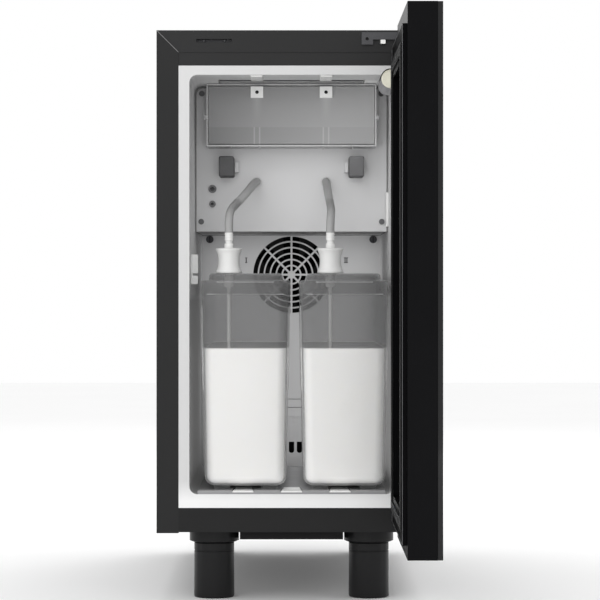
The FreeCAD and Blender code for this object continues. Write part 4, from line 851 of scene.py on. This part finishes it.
class COOLER_OT_feet(CoolerPiece):
    """The feet with their fluted sleeves"""
    bl_idname = "cooler.feet"
    bl_label = "Feet"

    def make(self):
        finish = moulded("foot plastic", tuple(colours().foot), 0.34, 600, 0.00004, 0.12, 0.2)
        for corner in CORNERS:
            low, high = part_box(f"foot_{corner}")
            radius, tall = (high.x - low.x)/2/MM, (high.z - low.z)/MM
            centre = ((low.x + high.x)/2, (low.y + high.y)/2, low.z)
            profile = [(radius - 4.5, 0), (radius - 1.9, 0.0), (radius - 0.9, 0.35), (radius - 0.2, 1.2),
                       (radius, 2.4), (radius, tall - 9.0), (radius - 0.5, tall - 8.6), (radius - 0.5, tall - 7.9),
                       (radius, tall - 7.5), (radius, tall - 0.8), (radius - 0.6, tall), (12.3, tall),
                       (12.3, tall - 37)]
            self.fluted(profile, centre).object(f"sleeve_{corner}", f"sleeve_{corner}", "foot_plastic",
                                                [f"foot_{corner}"], sharp=30)
            dress(finish, f"sleeve_{corner}")
        dress(finish, "foot_sockets")

    def fluted(self, profile, centre, flutes=8, steps=96):
        """Turned, with r drawn in by up to 0.35 mm where cos(flutes a) is high, for a faceted grip."""
        profile = np.array(profile, float)*MM
        a = np.arange(steps)*2*math.pi/steps
        grip = 0.35*MM*np.clip(np.cos(flutes*a), 0, 1)**2
        body = ((profile[:, 1] > 3*MM) & (profile[:, 0] > 18*MM)).astype(float)
        radius = profile[:, :1] - grip[None]*body[:, None]
        height = np.broadcast_to(profile[:, 1:], radius.shape)
        grid = np.stack([radius*np.cos(a), radius*np.sin(a), height], axis=-1)
        return Form().surface(grid, at=centre)


class COOLER_OT_trim(CoolerPiece):
    """Small trim: painted mitre highlights, grille rings, numerals, ceiling pads, bright edges, and painted shade
    in recesses, holes, grooves and slots
    """
    bl_idname = "cooler.trim"
    bl_label = "Trim"

    def make(self):
        self.mitre_highlights()
        self.grille()
        self.numerals()
        self.ceiling()
        self.bay_edges()
        self.tray_tabs()
        self.duct_groove_shades()
        self.door_edges()

    def mitre_highlights(self):
        """A painted highlight along each upper mitre: a bright strip standing a little proud, from the inner
        corner to the outer one.
        """
        low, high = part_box("front_top_rail")
        width = sizes().bead*MM
        run = high.z - low.z
        form = Form()
        for side in (-1, 1):
            outer = np.array([side*(high.x - low.x)/2, FRONT, high.z]) - np.array([side, 0, 1])*width
            inner = outer + np.array([-side, 0, -1])*(run - width)
            across = np.array([side, 0, -1.0])/math.sqrt(2)*width/2
            proud = np.array([0, -0.25*MM, 0])
            ends = [[at - across, at + across, at + across + proud, at - across + proud]
                    for at in (inner, outer)]
            grid = np.array(ends if side > 0 else ends[::-1])
            form.surface(grid[:, ::-1])
        form.object("mitre_highlights", "cabinet", "frame_paint")
        dress(powder_coat("mitre highlight grey", (0.20, 0.20, 0.2)), "mitre_highlights")

    def grille(self):
        """Round wires over the panel's rings: a torus of (R + r cos b, r sin b) for each."""
        low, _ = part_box("duct_panel")
        face, wire = low.y, sizes().ring_wire*MM/2
        fan_low, fan_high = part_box("evaporator_fan_frame")
        centre = ((fan_low.x + fan_high.x)/2, face + 0.4*MM, (fan_low.z + fan_high.z)/2)
        form = Form()
        b = np.arange(10)*2*math.pi/10
        for i in range(5):
            radius = (10.5 + 6.8*i)*MM
            a = np.arange(72)*2*math.pi/72
            r = radius + wire*np.cos(b)[:, None]*np.ones(72)
            grid = np.stack([r*np.cos(a), r*np.sin(a), wire*np.sin(b)[:, None]*np.ones(72)], axis=-1)
            form.surface(grid, loop=True, turn="-Y", at=centre)
        form.turned([(0.5, -0.2), (3.0, -0.2), (4.4, 0.4), (4.6, 1.0), (3.6, 1.8), (1.0, 2.1)], turn="-Y",
                    at=centre, steps=32)
        form.object("grille_rings", "cabinet", "duct_grey")

    def numerals(self):
        """Raised strokes on the duct panel that number the containers one and two."""
        low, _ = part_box("duct_panel")
        form = Form()
        front, back, edge = low.y - 0.5*MM, low.y + 0.1*MM, 0.2*MM
        foot, head, pitch = 341.6, 347.0, 2.2
        for x, count in ((-51.5, 1), (62.0, 2)):
            half = 1.3 + (count - 1)*pitch/2
            for k in range(count):
                mid = x + (k - (count - 1)/2)*pitch
                form.block(((mid - 0.5)*MM, front, foot*MM), ((mid + 0.5)*MM, back, (head + 0.4)*MM), edge)
            for z in (foot, head):
                form.block(((x - half)*MM, front, (z - 0.1)*MM), ((x + half)*MM, back, (z + 0.6)*MM), edge)
        form.object("numerals", "cabinet", "screw_dark")
        dress(moulded("numeral grey", (0.05, 0.05, 0.055)), "numerals")

    def ceiling(self):
        """Two pads that lead into the cartridge bay, and a dark strip of painted shade in the ceiling's recess."""
        top = LINER_HIGH.z - 9.1*MM
        form = Form()
        for x in (-35*MM, 35*MM):
            form.block((x - 6.2*MM, FRONT + 4*MM, top - 1.8*MM),
                       (x + 6.2*MM, FRONT + 60*MM, top + 0.2*MM), 0.8*MM)
        form.object("ceiling_pads", "cabinet", "white_plastic")
        # painted shade: a near-black strip in the ceiling's recess
        recess_shade_form = Form().block((-75*MM, FRONT + 71*MM, top + 3*MM),
                             (75*MM, FRONT + 124*MM, top + 5.5*MM), 0.5*MM)
        recess_shade_form.object("ceiling_recess_shade", "cabinet", "screw_dark")
        dress(moulded("recess shade dark", (0.012, 0.012, 0.012), gloss=0.2), "ceiling_recess_shade")

    def bay_edges(self):
        """Bright rounded strips round the bay's front edge and along the flap's lower edge: painted highlights,
        wider on the right side.
        """
        low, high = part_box("cartridge_bay")
        half, lip, y = 88.5*MM, 0.7*MM, low.y
        form = Form()
        form.block((-half, y - lip, low.z - 0.1*MM), (half, y + lip, low.z + 0.8*MM), 0.35*MM)
        form.block((-half, y - lip, high.z - 0.7*MM), (half, y + lip, high.z), 0.3*MM)
        for side, wide in ((-1, 0.6*MM), (1, 0.9*MM)):
            a, b = sorted((side*half, side*(half - wide)))
            form.block((a, y - lip, low.z), (b, y + lip, high.z), 0.3*MM)
        form.object("bay_edge_highlight", "cabinet", "frosted_grey")
        # bright grey strips: painted highlights
        dress(moulded("lip grey", (0.62, 0.62, 0.62), 0.25), "bay_edge_highlight")
        tabs = Form()
        for x in (-63, -33, 33, 64):
            tabs.block((x*MM - 0.4*MM, y + 1*MM, low.z - 3.2*MM),
                       (x*MM + 0.4*MM, y + 12*MM, low.z + 0.2*MM), 0.2*MM)
        boss_low, boss_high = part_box("flap_bosses")
        # painted shade: dark discs in the bosses' holes
        holes = Form()
        for x in (boss_low.x + 6.5*MM, boss_high.x - 6.5*MM):
            holes.turned([(0.05, 0), (1.75, 0), (1.75, 0.4), (0.05, 0.4)], turn="-Y", steps=24,
                         at=(x, boss_low.y + 1.6*MM, (boss_low.z + boss_high.z)/2))
        holes.object("boss_hole_shades", "flap", "screw_dark")
        dress(moulded("hole shade black", (0.008, 0.008, 0.008), 0.6), "boss_hole_shades")
        tabs.object("bay_tabs", "cabinet", "frosted_grey")
        dress(moulded("bay tab grey", (0.34, 0.34, 0.34), 0.4), "bay_tabs")

    def tray_tabs(self):
        """Three white tabs that fill the tray's notches: a wedge whose half-width falls from 10.6 to 8.4 mm."""
        low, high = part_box("floor_tray")
        tabs, lips = Form(), Form()
        z_low, z_high, edge = low.z + 1.4*MM, high.z - 0.2*MM, 0.5*MM
        for i in (-1, 0, 1):
            mid = i*48.6*MM
            rings = []
            for z, d in ((z_low, 0), (z_high - edge, 0), (z_high, edge)):
                ring = np.array([(10.6*MM - d, 0.6*MM + d), (8.4*MM - d, 52*MM - d), (-8.4*MM + d, 52*MM - d),
                                 (-10.6*MM + d, 0.6*MM + d)])
                rings.append(np.column_stack([ring + [mid, low.y], np.full(4, z)]))
            tabs.surface(np.array(rings))
        tabs.object("tray_tabs", "cabinet", "white_plastic")
        dress(moulded("tab white", shade(colours().white, 1.05)), "tray_tabs")
        ends = [-94*MM, -60.2*MM, -37.0*MM, -11.6*MM, 11.6*MM, 37.0*MM, 60.2*MM, 94*MM]
        for a, b in zip(ends[::2], ends[1::2]):
            lips.block((a, low.y + 0.05*MM, low.z + 0.3*MM), (b, low.y + 1.2*MM, high.z + 0.2*MM), 0.3*MM)
        lips.object("tray_lip", "cabinet", "tray_grey")
        dress(moulded("tray lip grey", (0.42, 0.42, 0.42), 0.4), "tray_lip")

    def duct_groove_shades(self):
        """Two shallow cross strips over the flutes, dark as painted shade of two grooves, a near-black sheet of
        painted shade behind the air slots, and painted shade in the screws' slots.
        """
        low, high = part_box("duct_panel")
        form = Form()
        # painted shade: two dark lines for the cross grooves
        for z in (177.1, 186.6):
            form.block((low.x + 2*MM, low.y - 0.3*MM, (z - 0.35)*MM),
                       (high.x - 2*MM, low.y + 0.2*MM, (z + 0.35)*MM), 0.2*MM)
        form.object("duct_groove_shades", "cabinet", "duct_grey")
        dress(moulded("groove shade grey", (0.16, 0.16, 0.16), 0.5), "duct_groove_shades")
        # painted shade: a near-black sheet behind the air slots
        seal = Form().block((low.x + 12*MM, high.y + 0.2*MM, 121*MM),
                            (high.x - 12*MM, high.y + 1.2*MM, 142*MM), 0.4*MM)
        seal.object("air_slot_shade", "cabinet", "screw_dark")
        dress(rubber("air slot shade black", (0.002, 0.002, 0.002), 0.8, 0.05), "air_slot_shade")
        screws_low, screws_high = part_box("duct_screws")
        level, reach = (screws_low.z + screws_high.z)/2, (screws_high.z - screws_low.z)/2
        # painted shade: dark strips in the screws' slots
        slots = Form()
        for x in (screws_low.x + reach, screws_high.x - reach):
            slots.block((x - 0.5*MM, screws_low.y - 0.1*MM, level - reach*0.8),
                        (x + 0.5*MM, screws_low.y + 0.4*MM, level + reach*0.8), 0.15*MM)
        slots.object("screw_slots", "cabinet", "screw_dark")
        dress(moulded("screw slot shade black", (0.006, 0.006, 0.006), 0.6), "screw_slots")

    def door_edges(self):
        """A thin bright edge strip between the door's glass and its frame, and one round the inner panel."""
        glass_low, glass_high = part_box("door_glass")
        panel_low, panel_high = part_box("door_inner_panel")
        form = Form()
        x = glass_low.x
        form.block((x - 0.35*MM, glass_low.y, glass_low.z), (x + 0.15*MM, glass_low.y + 0.5*MM, glass_high.z),
                   0.15*MM)
        form.object("glass_edge_line", "door", "bracket_steel")
        dress(drawn_metal("edge steel", (0.35, 0.35, 0.36), (1, 1, 0.1), 0.35), "glass_edge_line")
        rim = Form()
        half_y, half_z = (panel_high.y - panel_low.y)/2, (panel_high.z - panel_low.z)/2
        middle = np.array([(panel_low.y + panel_high.y)/2, (panel_low.z + panel_high.z)/2])
        rings = []
        for out, deep in ((-0.9, 0.0), (-0.9, -0.25), (-0.2, -0.25), (-0.2, 0.0)):
            ring, _ = rounded_ring(half_y + out*MM, half_z + out*MM, 2*MM, 5)
            rings.append(np.column_stack([np.full(len(ring), panel_low.x + deep*MM), ring + middle]))
        rim.surface(np.array(rings), loop=True)
        rim.object("panel_rim", "door", "bracket_steel")
        dress(drawn_metal("rim grey", (0.25, 0.25, 0.26), (1, 1, 0.1), 0.4), "panel_rim")


class COOLER_OT_finishes(CoolerPiece):
    """Materials for the pieces that come from the frame as they are"""
    bl_idname = "cooler.finishes"
    bl_label = "Finishes"

    def make(self):
        c = colours()
        dress(powder_coat("frame paint", tuple(c.frame_grey)), "front_stiles")
        # painted light on the top rail and header, painted shade on the bottom rail: one frame paint in lighter
        # and darker copies
        dress(powder_coat("frame paint lit top", shade(c.frame_grey, 1.25)), "front_top_rail", "front_header")
        dress(powder_coat("frame paint shaded rail", shade(c.frame_grey, 0.8), 0.42, 0.19), "front_bottom_rail")
        dress(powder_coat("casing paint", tuple(c.casing), 0.5), "cabinet_shell", "rear_cover")
        dress(powder_coat("base paint", shade(c.casing, 0.6), 0.6), "base_plate")
        # painted light and shade on the liner's flange and walls
        dress(liner_finish("liner plastic", tuple(c.flange), tuple(c.wall_high), tuple(c.shaded_wall_low)),
              "inner_liner")
        dress(foam_finish("foam", (0.75, 0.68, 0.5)), "insulation_foam", "door_core")
        # painted shade: the duct panel darkens towards its lower edge, with painted light to the right
        dress(panel_finish("duct plastic", shade(c.duct, 0.8), tuple(c.duct), "duct_panel", 0.3),
              "duct_panel", "grille_rings")
        # painted shade towards the top, painted light to the right, painted shadow in the side gaps
        dress(panel_finish("service paint", tuple(c.panel_low), tuple(c.panel_high), "service_panel", 0.2, 0.6*MM),
              "service_panel", "latch_keepers")
        dress(moulded("tray plastic", (0.30, 0.30, 0.305), 0.5), "floor_tray")
        dress(rubber("latch rubber", tuple(c.latch)), "latch_left")
        # painted light: the right latch is a lighter copy of the same rubber
        dress(rubber("latch rubber lit right", shade(c.latch, 1.5)), "latch_right")
        dress(moulded("white plastic", tuple(c.white), 0.3), "flap_bosses", "wall_clips", "ceiling_pads",
              "door_switch_plunger")
        dress(self.port_finish(), "panel_ports")
        dress(frosted_plastic("bay plastic", shade(c.frosted, 1.8), 0.6, 0.9), "cartridge_bay")
        dress(frosted_plastic("flap plastic", tuple(c.frosted), 0.78, 0.95, flap=True), "bay_flap")
        dress(moulded("lamp housing", (0.42, 0.42, 0.43), 0.35), "lamp_housing")
        dress(lamp_finish("lamp lens", tuple(c.cream)), "lamp_lens")
        dress(moulded("screw dark", (0.05, 0.05, 0.055), 0.35), "duct_screws", "lock_receiver")
        dress(moulded("screw grey", (0.13, 0.13, 0.135), 0.35), "service_screws")
        dress(drawn_metal("bracket steel", (0.10, 0.10, 0.105), (0.2, 1, 1), 0.45), "hinge_brackets")
        dress(moulded("door plastic", tuple(c.black), 0.32, 900, 0.00002, 0.2, 0.06), "door_frame")
        dress(moulded("door panel", shade(c.black, 0.8), 0.4, 900, 0.00002, 0.2, 0.03), "door_inner_panel")
        dress(glass_black("door glass", (0.012, 0.012, 0.0125)), "door_glass")
        dress(powder_coat("compressor paint", (0.012, 0.012, 0.012), 0.35), "compressor")
        dress(drawn_metal("coil aluminium", (0.75, 0.76, 0.77), (1, 1, 0.1), 0.35), "condenser", "evaporator")
        dress(drawn_metal("copper", (0.72, 0.36, 0.22), (1, 0.2, 1), 0.3), "refrigerant_lines")
        dress(moulded("fan plastic", (0.006, 0.006, 0.006), 0.4, gloss=0.2), "condenser_fan_frame",
              "condenser_fan_rotor", "control_box", "power_inlet", "milk_pumps")
        dress(moulded("fan black", (0.0012, 0.0012, 0.0012), 0.7, gloss=0.03), "evaporator_fan_frame",
              "evaporator_fan_rotor")

    def port_finish(self):
        """Dark rinse ports on the left, and nozzles in the panel's own tone."""
        f = Finish("port plastic", IOR=1.46)
        nozzle = f.axis("X").ramp(-60*MM, 5*MM)
        fine = f.noise(600, 3)
        f.set(Base_Color=f.mix(nozzle, f.mix(fine, (0.12, 0.12, 0.125), (0.18, 0.18, 0.185)), (0.55, 0.55, 0.55)),
              Roughness=0.26 + fine*0.1)
        return f.bump(fine, 0.3, 0.00002)


OPERATORS = (COOLER_OT_stage, COOLER_OT_hoses, COOLER_OT_tubs, COOLER_OT_lids, COOLER_OT_caps,
             COOLER_OT_gasket, COOLER_OT_feet, COOLER_OT_trim, COOLER_OT_finishes)


class COOLER_PT_panel(bpy.types.Panel):
    """Lists the cooler's sizes, colours and operators"""
    bl_label = "Milk cooler"
    bl_space_type = "VIEW_3D"
    bl_region_type = "UI"
    bl_category = "Cooler"

    def draw(self, context):
        for group in (context.scene.cooler_sizes, context.scene.cooler_colours):
            for key in group.__annotations__:
                self.layout.prop(group, key)
        for operator in OPERATORS:
            self.layout.operator(operator.bl_idname)


CLASSES = (CoolerSizes, CoolerColours, *OPERATORS, COOLER_PT_panel)


def register():
    for cls in CLASSES:
        bpy.utils.register_class(cls)
    bpy.types.Scene.cooler_sizes = bpy.props.PointerProperty(type=CoolerSizes)
    bpy.types.Scene.cooler_colours = bpy.props.PointerProperty(type=CoolerColours)


def unregister():
    del bpy.types.Scene.cooler_colours
    del bpy.types.Scene.cooler_sizes
    for cls in reversed(CLASSES):
        bpy.utils.unregister_class(cls)


def main():
    register()
    for operator in OPERATORS:
        area, name = operator.bl_idname.split(".")
        getattr(getattr(bpy.ops, area), name)()


if __name__ == "__main__":
    main()
